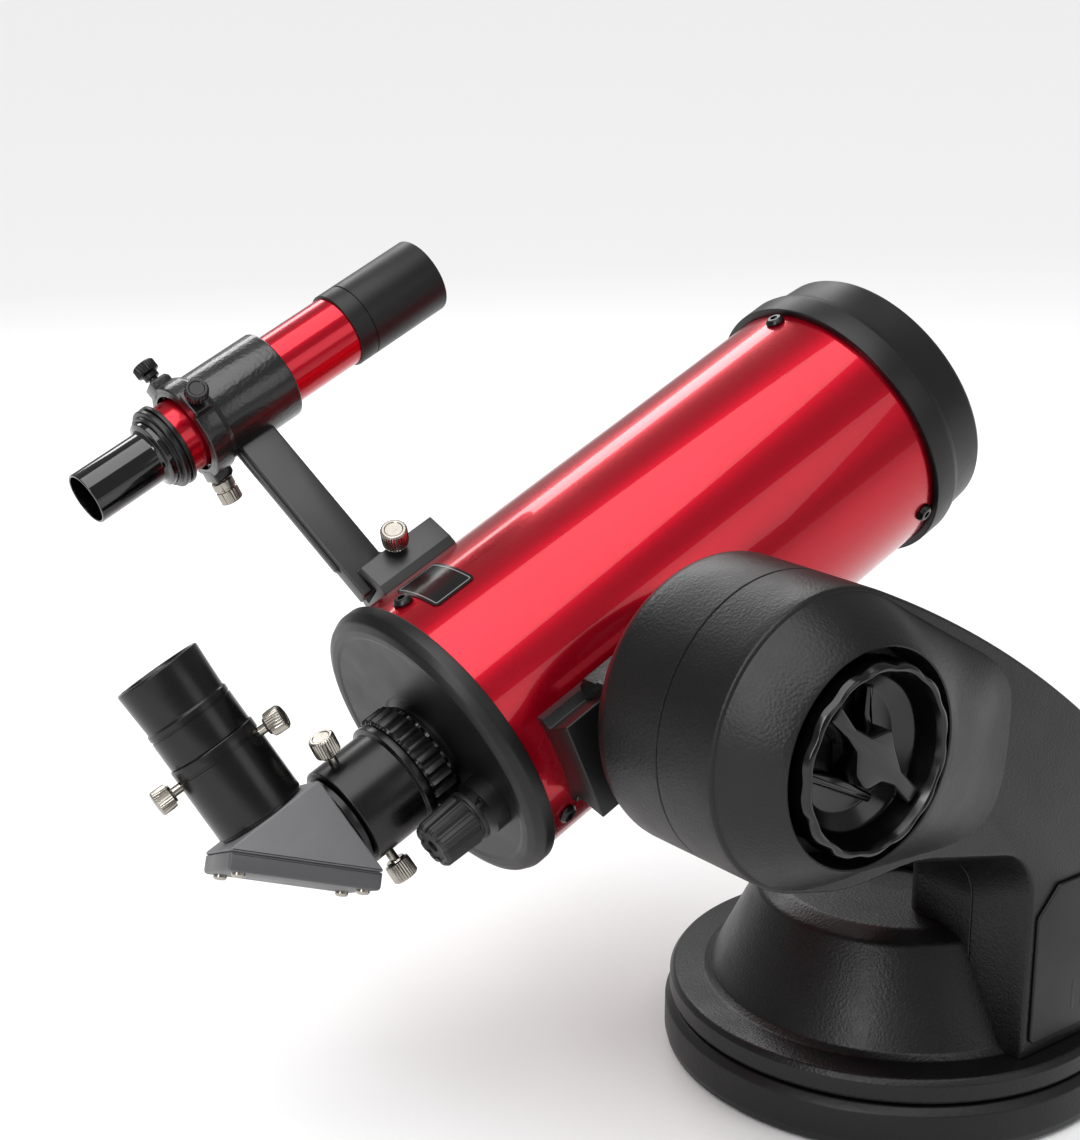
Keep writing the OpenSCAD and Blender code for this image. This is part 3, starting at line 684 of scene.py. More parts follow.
@dataclass
class Thumbscrew:
    """A knurled thumbscrew, with its tip, shank and head along its joint.

    Attributes:
        node: CAD node that it stands for, and its piece's name.
        turn: Joint that it turns on.
        body: Body that it rides on.
        reach: Distance from the shank's origin to the joint's point.
        tip: Start of the shank.
        head: Start of the head.
        radius: Radius of the head.
        height: Height of the head.
        finish: Finish of the head.
        teeth: Number of straight knurls.
        waist: True for a head with a thin neck ring, as on moulded screws.
    """

    node: str
    turn: str
    body: Body
    reach: float
    tip: float
    head: float
    radius: float
    height: float
    finish: Finish = NICKEL_PLATE
    teeth: int = 30
    waist: bool = False

    def build(self) -> None:
        """Build the screw as one turned piece with ribs round its head."""
        axes = screw_axes(self.turn, self.reach)
        r, top = self.radius, self.head + self.height
        shell = Shell()
        head = [(0.0, self.tip), (1.6, self.tip), (1.9, self.tip + 0.4), (1.9, self.head)]
        if self.waist:
            head += [(r - 1.6, self.head, 0.3), (r - 1.6, self.head + 2.0, 0.6),
                     (r - 0.2, self.head + 2.6, 0.4)]
        else:
            head += [(r - 1.5, self.head), (r - 1.2, self.head + 0.8, 0.2),
                     (r - 0.2, self.head + 1.1, 0.2)]
        head += [(r, self.head + 3.0), (r, top - 0.7), (r - 0.7, top, 0.3), (r - 1.6, top, 0.2),
                 (r - 2.0, top - 0.3), (0.0, top - 0.3)]
        low = self.head + (2.7 if self.waist else 1.2)
        revolve(shell, axes, head, 6 * self.teeth, ribs(self.teeth, 0.35, low, top - 0.5), closed=False)
        shell.piece(self.node + "_knurled", self.finish, self.body, [self.node])


@dataclass
class OpticalTube:
    """The main tube with its two cells, corrector, label, screws and dovetail bar.

    Sizes are in millimetres along the tube's axis from the altitude axis.

    Attributes:
        radius: Outside radius of the tube.
        wall: Wall of the tube.
        back: Rear end of the tube.
        front: Front end of the tube, inside the front cell.
        lens_r: Radius of the corrector.
        rim: Front of the front cell.
        screw_angles: Places of the fixing screws, from straight up.
    """

    radius: float = 58.0
    wall: float = 1.5
    back: float = -71.5
    front: float = 162.8
    lens_r: float = 54.0
    rim: float = 189.5
    screw_angles: tuple[float, ...] = (4.0, 124.0, 244.0)

    def build(self) -> None:
        """Build all pieces of the tube."""
        self._tube()
        self._front_cell()
        self._corrector()
        self._rear_cell()
        self._screws()
        self._label()
        self._dovetail()

    def _tube(self) -> None:
        """Build the rolled tube."""
        r, inner = self.radius, self.radius - self.wall
        shell = revolve(Shell(), TUBE, [(r, self.back), (r, self.front), (inner, self.front),
                                        (inner, self.back)], 320)
        shell.piece("main_tube_skin", RED_ENAMEL, Body.TELESCOPE, ["main_tube"])

    def _front_cell(self) -> None:
        """Build the front cell: a stepped ring with a lip over the tube, and its plug inside it."""
        r, bore = self.radius, self.lens_r
        profile = [(bore - 2.5, 146.0), (r - 1.6, 146.0), (r - 1.6, 163.0), (r + 0.1, 163.0),
                   (r + 0.1, 157.0, 0.2), (r + 3.1, 157.0, 0.7), (r + 3.1, 168.0, 2.0),
                   (r + 2.3, 170.8, 0.6), (r + 0.6, 171.0, 0.5), (r - 0.5, 187.5, 1.5),
                   (r - 1.8, self.rim, 0.7), (bore + 0.4, self.rim, 0.5), (bore + 0.4, 165.2),
                   (bore - 2.5, 165.2)]
        revolve(Shell(), TUBE, profile, 256).piece("front_cell_ring", SATIN_ABS, Body.TELESCOPE,
                                                   ["front_cell"])
        ring = [(bore + 0.3, 176.0), (bore + 0.3, 180.0), (bore - 3.5, 180.0, 0.5), (bore - 3.5, 176.0)]
        revolve(Shell(), TUBE, ring, 192).piece("lens_retaining_ring", BLACK_ANODISED, Body.TELESCOPE,
                                                ["retaining_ring"])

    def _corrector(self) -> None:
        """Build the meniscus: x = pole + R - sqrt(R^2 - r^2) on both faces, with a ground edge."""
        r = np.linspace(0.0, self.lens_r, 24)
        rear = 156.65 + 156.0 - np.sqrt(156.0 ** 2 - r ** 2)
        front = 165.65 + 150.0 - np.sqrt(150.0 ** 2 - r ** 2)
        profile = list(zip(r, rear)) + list(zip(r[::-1], front[::-1]))
        shell = revolve(Shell(), TUBE, profile, 160, closed=False)
        shell.piece("corrector_meniscus", GLASS, Body.TELESCOPE, ["corrector_lens"])

    def _rear_cell(self) -> None:
        """Build the rear cell: rounded lip, shallow stepped face, plug and the threaded port."""
        r, back, lip = self.radius, -76.0, self.radius + 2.7
        profile = [(14.0, -77.0), (14.0, -99.0, 0.4), (18.5, -99.0, 0.4), (18.5, back + 0.9),
                   (24.0, back + 0.9, 0.5), (25.0, back + 0.4, 0.4), (51.5, back + 0.4, 0.4),
                   (53.0, back, 0.4), (lip - 5.0, back, 1.5), (lip - 1.8, back + 1.2, 2.0),
                   (lip, back + 5.0, 2.5), (lip, -66.2, 0.5), (r + 0.1, -66.2), (r + 0.1, -72.0),
                   (r - 1.6, -72.0), (r - 1.6, -50.0), (r - 5.0, -50.0), (r - 5.0, -70.0), (16.1, -70.0),
                   (16.1, -77.0)]
        revolve(Shell(), TUBE, profile, 256).piece("rear_cell_casting", SATIN_ABS, Body.TELESCOPE,
                                                   ["rear_cell"])

    def _screws(self) -> None:
        """Build the six pan-head screws, each with a round socket."""
        shell = Shell()
        for x in (151.5, -57.8):
            for angle in self.screw_angles:
                place = TUBE.rolled(angle).shifted(x=x, z=self.radius)
                axes = Axes(place.origin, place.up, place.side, -place.along)
                profile = [(0.0, -4.5), (1.9, -4.5), (1.9, 0.02), (3.9, 0.02, 0.2), (4.0, 0.9, 0.5),
                           (2.9, 2.3, 0.7), (1.5, 2.4, 0.1), (1.4, 1.0), (0.0, 1.0)]
                revolve(shell, axes, profile, 48, closed=False)
        shell.piece("cell_screws", BLACK_ANODISED, Body.TELESCOPE, ["tube_screws"])

    def _label(self) -> None:
        """Build the blank label: a curved plate with a thin silver line inside its edge."""
        corners = [(-53.5, -11.5, 2.0), (-33.5, -11.5, 2.0), (-33.5, 16.5, 2.0), (-53.5, 16.5, 2.0)]
        outline = spaced(rounded(corners), 1.0)
        self._wrapped(outline, 0.05, 0.5, "label_foil", LABEL_FOIL, ["label_plate"])
        line = offset(outline, 1.1)
        inner = offset(outline, 1.5)
        rows = []
        for ring, lift in ((line, 0.49), (line, 0.56), (inner, 0.56), (inner, 0.49)):
            rows.append(self._on_tube(ring, lift))
        shell = Shell().grid(np.array(rows), wrap_v=True)
        shell.piece("label_border", SILVER_PRINT, Body.TELESCOPE)

    def _on_tube(self, outline: Array, lift: float) -> Array:
        """Wrap (x, arc length) points round the tube at a height over it."""
        angle = outline[:, 1] / self.radius
        r = self.radius + lift
        return TUBE.out(np.stack([outline[:, 0], r * np.sin(angle), r * np.cos(angle)], -1))

    def _wrapped(self, outline: Array, low: float, high: float, name: str, finish: Finish,
                 nodes: list[str]) -> None:
        """Build a thin plate wrapped on the tube, as rings of its outline that shrink to its middle.

        Args:
            outline: Closed outline as (x, arc length).
            low: Height of the lower face over the tube.
            high: Height of the upper face over the tube.
            name: Name of the piece.
            finish: Finish of the piece.
            nodes: CAD nodes that it stands for.
        """
        middle = outline.mean(0)
        rows = [self._on_tube(middle + (outline - middle) * s, low) for s in (0.02, 0.5, 1.0)]
        rows += [self._on_tube(middle + (outline - middle) * s, high)
                 for s in (1.0, 0.75, 0.5, 0.25, 0.02)]
        Shell().grid(np.array(rows), cap=True).piece(name, finish, Body.TELESCOPE, nodes)

    def _dovetail(self) -> None:
        """Build the dovetail bar: its section in local Y and Z, carried along the tube."""
        place = Axes(TUBE.origin, TUBE.up, -TUBE.along, -TUBE.side)
        inside = math.sqrt(self.radius ** 2 - 20.0 ** 2) + 0.1
        corners = [(-20.0, inside), (-20.0, 58.0), (-16.5, 60.5, 0.5), (-22.0, 73.0, 0.8),
                   (22.0, 73.0, 0.8), (16.5, 60.5, 0.5), (20.0, 58.0), (20.0, inside)]
        slab(Shell(), place, corners[::-1], -45.0, 55.0, 0.5).piece(
            "dovetail_rail", SATIN_ABS, Body.TELESCOPE, ["dovetail_bar"])


@dataclass
class Focuser:
    """The focus knob on its boss, off centre on the rear cell.

    Attributes:
        radius: Radius of the knob.
        back: Rear end of the knob.
        front: Front end of the knob.
        flutes: Number of finger flutes.
    """

    radius: float = 10.4
    back: float = -105.5
    front: float = -84.8
    flutes: int = 8

    def axes(self) -> Axes:
        """Return the focus screw's axes, from its joint."""
        turn = joint("focus_turn")
        on_axis = vec(turn["pos_m"]) / MM
        origin = on_axis - TUBE.along * np.dot(on_axis - TUBE.origin, TUBE.along)
        return Axes(origin, TUBE.along, TUBE.side, TUBE.up)

    def build(self) -> None:
        """Build the fluted rubber knob: shallow flutes over fine grip lines, 3 mm longer than the CAD's."""
        r = self.radius

        def wave(turn: Array, x: Array, radius: Array) -> Array:
            """Cut wide flutes that run out before the knob's front flange."""
            body = (x < self.front - 3.2) & (radius > 6.0)
            flute = np.abs(np.cos(self.flutes * turn / 2.0)) ** 6
            grip = 0.5 - 0.5 * np.cos(48 * turn)
            return radius - body * (1.3 * flute + 0.22 * grip * (1 - flute))

        profile = [(2.6, self.back + 3.0), (2.6, self.back + 0.6), (r - 4.5, self.back + 0.6, 0.3),
                   (r - 3.6, self.back, 0.3), (r - 1.8, self.back, 0.8), (r - 0.7, self.back + 1.4, 0.8),
                   (r, self.front - 3.4, 0.2), (r - 0.9, self.front - 3.1, 0.1),
                   (r - 0.9, self.front - 2.5, 0.1), (r, self.front - 2.2, 0.4),
                   (r, self.front - 0.2, 0.4), (2.6, self.front)]
        revolve(Shell(), self.axes(), profile, 384, wave).piece(
            "focus_knob_grip", RUBBER, Body.FOCUSER, ["focus_knob"])


@dataclass
class RearPort:
    """Lock ring and eyepiece adapter on the rear cell's port.

    Attributes:
        ring_r: Radius of the ribbed lock ring.
        tube_r: Radius of the adapter.
        back: Rear end of the adapter.
    """

    ring_r: float = 24.3
    tube_r: float = 21.0
    back: float = -119.5

    def build(self) -> None:
        """Build the ring, the adapter and its two screws."""
        r = self.ring_r
        ring = [(18.6, -91.0), (r - 1.6, -91.0, 0.5), (r, -89.6, 0.4), (r, -81.0, 0.4),
                (r - 1.2, -79.8, 0.4), (22.0, -79.6), (22.0, -77.9, 0.3), (18.6, -77.9)]
        revolve(Shell(), TUBE, ring, 480, ribs(30, 1.5, -90.2, -80.4, 0.45)).piece(
            "lock_ring_ribbed", BLACK_ANODISED, Body.LOCK_RING, ["visual_back_ring"])
        t, socket = self.tube_r, 15.98
        adapter = [(socket, self.back), (t, self.back, 0.6), (t, -95.2), (t + 0.3, -95.0, 0.2),
                   (t + 2.0, -94.3, 0.3), (t + 2.0, -91.3, 0.4), (18.55, -91.3), (18.55, -99.5),
                   (socket, -99.5)]
        revolve(Shell(), TUBE, adapter, 192).piece("adapter_sleeve", BLACK_ANODISED, Body.ADAPTER,
                                                   ["eyepiece_adapter"])
        for letter in "ab":
            Thumbscrew(f"adapter_screw_{letter}", f"adapter_screw_{letter}_turn",
                       Body(f"adapter_thumbscrew_{letter}"), 28.0, 16.2, 25.0, 5.2, 8.5).build()


@dataclass
class StarDiagonal:
    """Right-angle prism diagonal: nosepiece, triangular housing, cover and eyepiece holder.

    Attributes:
        front: Front of the housing, along the tube.
        leg: Leg of the housing's triangle.
        top: Height of the housing's upper face.
        half: Half of the housing's width.
        eye_x: Eyepiece axis along the tube.
        holder_r: Radius of the holder.
        holder_len: Length of the holder.
    """

    front: float = -123.4
    leg: float = 43.1
    top: float = 19.5
    half: float = 17.5
    eye_x: float = -144.0
    holder_r: float = 18.0
    holder_len: float = 32.8

    def axes(self) -> Axes:
        """Return the tube's axes rolled so that up is the eyepiece's direction."""
        return Axes.facing(TUBE.origin, TUBE.along, vec(joint("eyepiece_slide")["axis"]))

    def build(self) -> None:
        """Build the diagonal's pieces."""
        axes = self.axes()
        nose = [(14.0, self.front), (17.5, self.front, 0.3), (18.6, self.front + 0.4, 0.3),
                (18.6, -120.4, 0.5), (17.3, -119.7, 0.3), (15.9, -119.7), (15.9, -101.0, 0.3),
                (14.0, -101.0)]
        revolve(Shell(), axes, nose, 160).piece("nosepiece_ring", BLACK_ANODISED, Body.DIAGONAL,
                                                ["diagonal_nosepiece"])
        self._housing(axes)
        self._holder(axes)
        for letter in "ab":
            Thumbscrew(f"holder_screw_{letter}", f"holder_screw_{letter}_turn",
                       Body(f"holder_thumbscrew_{letter}"), 25.0, 16.2, 21.5, 5.0, 7.5).build()

    def _housing(self, axes: Axes) -> None:
        """Build the triangular casting, and the cover plate on its long face with its four screw heads.

        Args:
            axes: Axes of the diagonal, with up towards the eyepiece.
        """
        x0, x1, top = self.front, self.front - self.leg, self.top
        low = self.top - self.leg
        triangle = [(x1, top, 0.9), (x0, low, 0.9), (x0, top, 1.6)]
        slab(Shell(), axes, triangle, -self.half, self.half, 0.9).piece(
            "prism_casting", GREY_POWDER, Body.DIAGONAL, ["prism_housing"])
        middle = axes.shifted(x=x0 - self.leg / 2, z=top - self.leg / 2)
        slope = math.sqrt(0.5)
        out = slope * (-axes.along - axes.up)
        long_way = slope * (-axes.along + axes.up)
        place = Axes(middle.origin, long_way, np.cross(out, long_way), out)
        plate = [(-29.3, 0.1, 0.6), (29.3, 0.1, 0.6), (29.3, 7.0, 1.6), (-29.3, 7.0, 1.6)]
        # The cover plate's darker grey is painted shade on the housing's underside
        slab(Shell(), place, plate, -self.half, self.half, 0.9).piece(
            "prism_cover_plate", SHADED_GREY_POWDER, Body.DIAGONAL, ["prism_cover"])
        heads = Shell()
        for x in (-24.0, 24.0):
            for y in (-12.5, 12.5):
                seat = place.shifted(x=x, y=y, z=7.0)
                head = [(0.0, 0.0), (2.6, 0.0), (2.6, 1.0, 0.3), (1.9, 1.8, 0.4), (1.2, 1.8, 0.1),
                        (1.1, 0.9), (0.0, 0.9)]
                revolve(heads, seat.upright(), head, 36, closed=False)
        heads.piece("cover_screw_heads", NICKEL_PLATE, Body.DIAGONAL, ["cover_screws"])

    def _holder(self, axes: Axes) -> None:
        """Build the holder: a tube with a seat ring and a thin groove under its rim.

        Args:
            axes: Axes of the diagonal, with up towards the eyepiece.
        """
        base = axes.shifted(x=self.eye_x, z=self.top).upright()
        r, length = self.holder_r, self.holder_len
        profile = [(15.98, 0.1), (r - 0.8, 0.1, 0.3), (r - 0.8, 1.2), (r, 1.5, 0.3), (r, length - 5.4),
                   (r - 0.5, length - 5.2), (r - 0.5, length - 4.4), (r, length - 4.2), (r, length, 0.6),
                   (15.98, length, 0.4)]
        revolve(Shell(), base, profile, 192).piece("holder_tube", BLACK_ANODISED, Body.DIAGONAL,
                                                   ["eyepiece_holder"])


@dataclass
class Eyepiece:
    """The eyepiece in the holder: plated barrel, two-step body, eye lens.

    Attributes:
        base: Height of the holder's mouth over the tube's axis.
        radius: Radius of the body.
        height: Height of the body over the holder.
    """

    base: float = 52.4
    radius: float = 17.3
    height: float = 34.2

    def build(self) -> None:
        """Build the eyepiece's pieces."""
        diagonal = StarDiagonal()
        axes = diagonal.axes().shifted(x=diagonal.eye_x, z=self.base).upright()
        barrel = [(14.3, -26.0), (15.9, -26.0, 0.4), (15.9, -12.0), (15.4, -11.5), (15.4, -8.0),
                  (15.9, -7.5), (15.9, 4.0), (14.3, 4.0)]
        revolve(Shell(), axes, barrel, 160).piece("barrel_plated", NICKEL_PLATE, Body.EYEPIECE,
                                                  ["eyepiece_barrel"])
        r, top = self.radius, self.height
        body = [(15.91, 0.0), (r, 0.0, 0.4), (r, 12.2), (r - 0.35, 12.4), (r - 0.35, 12.9), (r, 13.1),
                (r, 15.2, 0.4), (r - 0.6, 15.9, 0.3), (r - 0.6, 17.0, 0.2), (r + 0.2, top, 0.9),
                (r - 1.7, top, 0.7), (r - 3.3, 27.0, 1.0), (9.4, 26.4, 0.4), (9.2, 22.0), (12.2, 22.0),
                (12.2, 4.1), (15.91, 4.1)]
        revolve(Shell(), axes, body, 192, ribs(72, 0.22, 17.6, 32.4)).piece(
            "body_two_step", BLACK_ANODISED, Body.EYEPIECE, ["eyepiece_body"])
        lens = np.linspace(0.0, 9.1, 10)
        face = 26.0 - lens ** 2 / 60.0
        shell = revolve(Shell(), axes, [(0.0, 22.2), (9.1, 22.2)] + list(zip(lens[::-1], face[::-1])), 64,
                        closed=False)
        revolve(shell, axes, [(0.0, 7.0), (12.1, 7.0), (12.1, 12.0), (0.0, 12.0)], 64, closed=False)
        shell.piece("eye_lens_groups", GLASS, Body.EYEPIECE, ["eyepiece_lenses"])


@dataclass
class Finder:
    """The finder telescope, its bracket, shoe, aiming screws and eyepiece.

    Attributes:
        height: Distance of the finder's axis from the tube's axis.
        tube_r: Radius of the painted tube.
        shade_r: Radius of the dew shield.
        sleeve_r: Radius of the bracket's sleeve.
        shoe_top: Height of the shoe's jaws.
    """

    height: float = 157.8
    tube_r: float = 15.2
    shade_r: float = 16.3
    sleeve_r: float = 19.1
    shoe_top: float = 71.5

    def stalk_axes(self) -> Axes:
        """Return the tube's axes rolled so that up runs along the stalk."""
        pivot = vec(joint("finder_aim")["pos_m"]) / MM
        return Axes.facing(TUBE.origin, TUBE.along, pivot - TUBE.origin)

    def build(self) -> None:
        """Build the finder's pieces."""
        stalk = self.stalk_axes()
        axis = stalk.shifted(z=self.height)
        self._shoe(stalk)
        self._bracket(stalk, axis)
        self._optics(axis)
        self._screws(axis)

    def _shoe(self, stalk: Axes) -> None:
        """Build the shoe: its dovetail section carried along the tube.

        Args:
            stalk: Axes with up along the stalk.
        """
        top = self.shoe_top
        seat = math.sqrt(58.0 ** 2 - 13.0 ** 2) + 0.1
        place = Axes(stalk.origin, stalk.side, -stalk.along, stalk.up)
        section = [(-13.0, seat), (0.0, 58.1), (13.0, seat), (13.0, 60.5, 0.6), (9.8, top, 0.6),
                   (5.0, top, 0.4), (7.8, 61.0, 0.3), (-7.8, 61.0, 0.3), (-5.0, top, 0.4),
                   (-9.8, top, 0.6), (-13.0, 60.5, 0.6)]
        slab(Shell(), place, section, 16.0, 53.0, 0.4).piece("shoe_casting", SATIN_PAINT, Body.TELESCOPE,
                                                             ["finder_shoe"])

    def _bracket(self, stalk: Axes, axis: Axes) -> None:
        """Build the bracket: sleeve, rear collar with three pads, stalk and dovetail foot.

        Args:
            stalk: Axes with up along the stalk.
            axis: The same axes on the finder's centre line.
        """
        r, bore = self.sleeve_r, 16.9
        shell = revolve(Shell(), axis, [(bore, -70.0), (r, -70.0, 0.6), (r, -25.0, 0.8),
                                        (bore, -25.0, 0.5)], 192)
        for angle in (-4.0, -84.0, 150.0):
            pad = axis.rolled(angle).shifted(x=-66.0)
            half = 5.4
            outline = [(-4.0, r - 1.2), (4.6, r - 1.2), (4.6, r + 3.0, 1.0), (3.2, r + 4.4, 0.6),
                       (-4.0, r + 4.4, 0.6)]
            slab(shell, pad, outline, -half, half, 0.8)
        collar = [(bore + 0.6, -69.9), (r + 1.5, -69.9, 0.8), (r + 1.5, -61.5, 1.0),
                  (r + 0.2, -59.0, 0.6), (bore + 0.6, -59.0)]
        revolve(shell, axis, collar, 192)
        shell.piece("bracket_sleeve", HAMMERED_PAINT, Body.FINDER_MOUNT, ["finder_bracket"])
        top = self.height - r + 2.0
        leg = [(-57.0, 62.0, 0.6), (-40.0, 62.0, 0.6), (-40.0, top), (-57.0, top)]
        post = slab(Shell(), stalk, leg, -4.0, 4.0, 0.9)
        rib = [(-58.4, 78.0, 1.0), (-56.0, 74.0, 0.5), (-56.0, top), (-58.4, top)]
        slab(post, stalk, rib, -1.6, 1.6, 0.5)
        place = Axes(stalk.origin, stalk.side, -stalk.along, stalk.up)
        foot = [(-7.4, 61.4, 0.3), (7.4, 61.4, 0.3), (4.7, 71.2, 0.2), (4.0, 72.4, 0.3),
                (-4.0, 72.4, 0.3), (-4.7, 71.2, 0.2)]
        slab(post, place, foot, 16.0, 53.0, 0.3)
        post.piece("bracket_stalk", SATIN_PAINT, Body.FINDER_MOUNT)

    def _optics(self, axis: Axes) -> None:
        """Build the painted tube, shade, lens, lock ring and eyepiece of the finder.

        Args:
            axis: Axes on the finder's centre line.
        """
        t, s = self.tube_r, self.shade_r
        revolve(Shell(), axis, [(t, -77.0), (t, 14.0), (t - 1.2, 14.0), (t - 1.2, -77.0)], 160).piece(
            "finder_tube_skin", RED_ENAMEL, Body.FINDER, ["finder_tube"])
        shade = [(t + 0.03, 9.7), (s, 9.7, 0.5), (s, 17.7), (s - 0.4, 17.9), (s - 0.4, 18.3), (s, 18.5),
                 (s, 55.9, 0.5), (14.9, 55.9, 0.3), (14.9, 20.0), (12.8, 20.0), (12.8, 15.0),
                 (t + 0.03, 15.0)]
        revolve(Shell(), axis, shade, 192).piece("finder_shade", SATIN_ABS, Body.FINDER,
                                                 ["finder_dew_shield"])
        lens = np.linspace(0.0, 14.7, 14)
        sag = 70.0 - np.sqrt(70.0 ** 2 - lens ** 2)
        profile = list(zip(lens, 20.2 + sag)) + list(zip(lens[::-1], (27.5 - sag)[::-1]))
        revolve(Shell(), axis, profile, 96, closed=False).piece(
            "finder_lens", GLASS, Body.FINDER, ["finder_objective"])
        ring = [(14.1, -84.0), (15.4, -84.0, 0.4), (15.4, -82.4, 0.3), (17.2, -82.2, 0.5),
                (17.2, -80.4, 0.3), (16.2, -80.2), (16.2, -79.5), (17.4, -79.3, 0.2), (17.4, -77.5, 0.4),
                (14.1, -77.5)]
        revolve(Shell(), axis, ring, 192).piece(
            "finder_ring_stepped", BLACK_ANODISED, Body.FINDER_RING, ["finder_lock_ring"])
        eye = [
            (8.0, -72.0), (13.9, -72.0), (13.9, -86.0, 0.4), (11.6, -86.8, 0.8), (10.8, -88.0, 0.6),
            (10.9, -118.0, 0.5), (9.9, -118.0, 0.3), (9.6, -105.2), (9.0, -105.0), (8.0, -105.0)]
        revolve(Shell(), axis, eye, 160).piece(
            "finder_eye_tube", POLISHED_ACETAL, Body.FINDER_OCULAR, ["finder_eyepiece"])

    def _screws(self, axis: Axes) -> None:
        """Build the aiming screws, the plunger's barrel and the shoe's screws.

        Args:
            axis: Axes on the finder's centre line.
        """
        for letter in "ab":
            Thumbscrew(f"adjuster_{letter}", f"adjuster_{letter}_turn", Body(f"finder_adjuster_{letter}"),
                       28.0, 15.8, 25.2, 4.8, 7.2, BLACK_ANODISED, 24, True).build()
        Thumbscrew("shoe_screw_a", "shoe_screw_a_turn", Body.SHOE_SCREW_A, 12.0, 2.2, 9.0, 5.4,
                   9.0).build()
        Thumbscrew("shoe_screw_b", "shoe_screw_b_turn", Body.SHOE_SCREW_B, 12.0, 2.2, 9.0, 5.4, 9.0,
                   BLACK_ANODISED, 24).build()
        pad = axis.rolled(150.0).shifted(x=-66.0).upright()
        barrel = [(2.1, 17.6), (3.2, 17.6), (3.2, 24.0), (4.2, 24.0, 0.3), (4.6, 24.6, 0.2), (4.6, 27.4),
                  (4.1, 27.7), (4.1, 28.3), (4.6, 28.6), (4.6, 33.6, 0.4), (3.6, 34.0, 0.3), (0.0, 34.0),
                  (0.0, 32.0), (2.1, 32.0)]
        revolve(Shell(), pad, barrel, 120, ribs(24, 0.2, 28.5, 33.4)).piece(
            "plunger_case", NICKEL_PLATE, Body.FINDER_MOUNT, ["plunger_barrel"])


@dataclass
class ClutchKnob:
    """The altitude clutch knob: a scalloped rim round a deep dish, crossed by a winged bar.

    Attributes:
        radius: Radius of the rim.
        face: Distance of the knob's underside from the row's XZ plane.
        rim: Height of the rim.
        lobes: Number of scallops.
    """

    radius: float = 35.6
    face: float = 93.0
    rim: float = 19.5
    lobes: int = 14

    def axes(self) -> Axes:
        """Return axes along the altitude axis towards the knob, with up as the row's up."""
        origin = vec([ALTITUDE[0], -self.face, ALTITUDE[2]])
        return Axes(origin, vec([0.0, -1.0, 0.0]), vec([1.0, 0.0, 0.0]), vec([0.0, 0.0, 1.0]))

    def build(self) -> None:
        """Build the dish with its rim, and the bar in it, as one moulding."""
        axes = self.axes()
        r, top = self.radius, self.rim

        def wave(turn: Array, x: Array, radius: Array) -> Array:
            """Scallop the rim: shallow round bites between lobes, fading towards the dish."""
            bite = (0.5 - 0.5 * np.cos(self.lobes * turn)) ** 1.6
            share = np.clip((radius - (r - 5.5)) / 5.0, 0.0, 1.0)
            return radius - 1.0 * bite * share

        profile = [(4.1, 0.0), (r - 4.0, 0.0, 1.0), (r - 1.0, 2.0, 1.5), (r, 6.0, 2.0),
                   (r, top - 2.8, 1.5), (r - 0.9, top - 0.6, 1.2), (r - 2.2, top, 0.8),
                   (r - 3.2, top - 0.6, 0.6), (r - 4.2, top - 3.0, 1.5), (r - 6.6, 8.0, 3.0),
                   (r - 13.0, 4.0, 2.5), (4.1, 3.4)]
        shell = revolve(Shell(), axes, profile, 336, wave)
        self._bar(shell, axes)
        shell.piece("clutch_knob_moulding", KNOB_ABS, Body.CLUTCH, ["clutch_knob"])

    def _bar(self, shell: Shell, axes: Axes) -> None:
        """Add the bar: a flat-topped hub between two curved arms, and two low ribs across the dish.

        Args:
            shell: Shell that takes the surface.
            axes: Axes of the knob.
        """
        place = Axes(axes.origin, vec([1.0, 0.0, 0.0]), vec([0.0, -1.0, 0.0]), vec([0.0, 0.0, 1.0]))
        bar = [(-21.0, 18.6, 1.2), (-16.6, 23.4, 1.2), (-9.0, 13.5, 4.0), (-1.0, 8.5, 3.0),
               (9.0, 9.5, 3.0), (11.5, 1.0, 3.5), (15.0, -8.0, 3.0), (24.2, -17.2, 1.5),
               (19.6, -21.6, 1.5), (11.5, -12.5, 3.0), (5.0, -9.5, 3.0), (-3.0, -11.0, 3.5),
               (-7.5, -4.5, 3.5), (-7.5, 4.0, 3.5), (-12.5, 10.5, 3.0)]
        slab(shell, place, bar[::-1], 3.0, 16.2, 1.1)
        rib = [(-26.5, 0.5, 1.0), (-26.0, -3.6, 1.0), (-14.0, -9.5, 2.0), (7.5, -20.5, 1.2),
               (9.0, -17.6, 1.2), (-8.0, -6.5, 3.0)]
        slab(shell, place, rib, 3.0, 8.6, 1.2)
        top = [(3.0, 24.6, 1.0), (6.4, 24.2, 1.0), (5.2, 14.0, 1.5), (8.0, 6.0, 1.5), (3.0, 6.0, 1.5),
               (2.0, 14.0, 1.5)]
        slab(shell, place, top[::-1], 3.0, 9.5, 1.2)


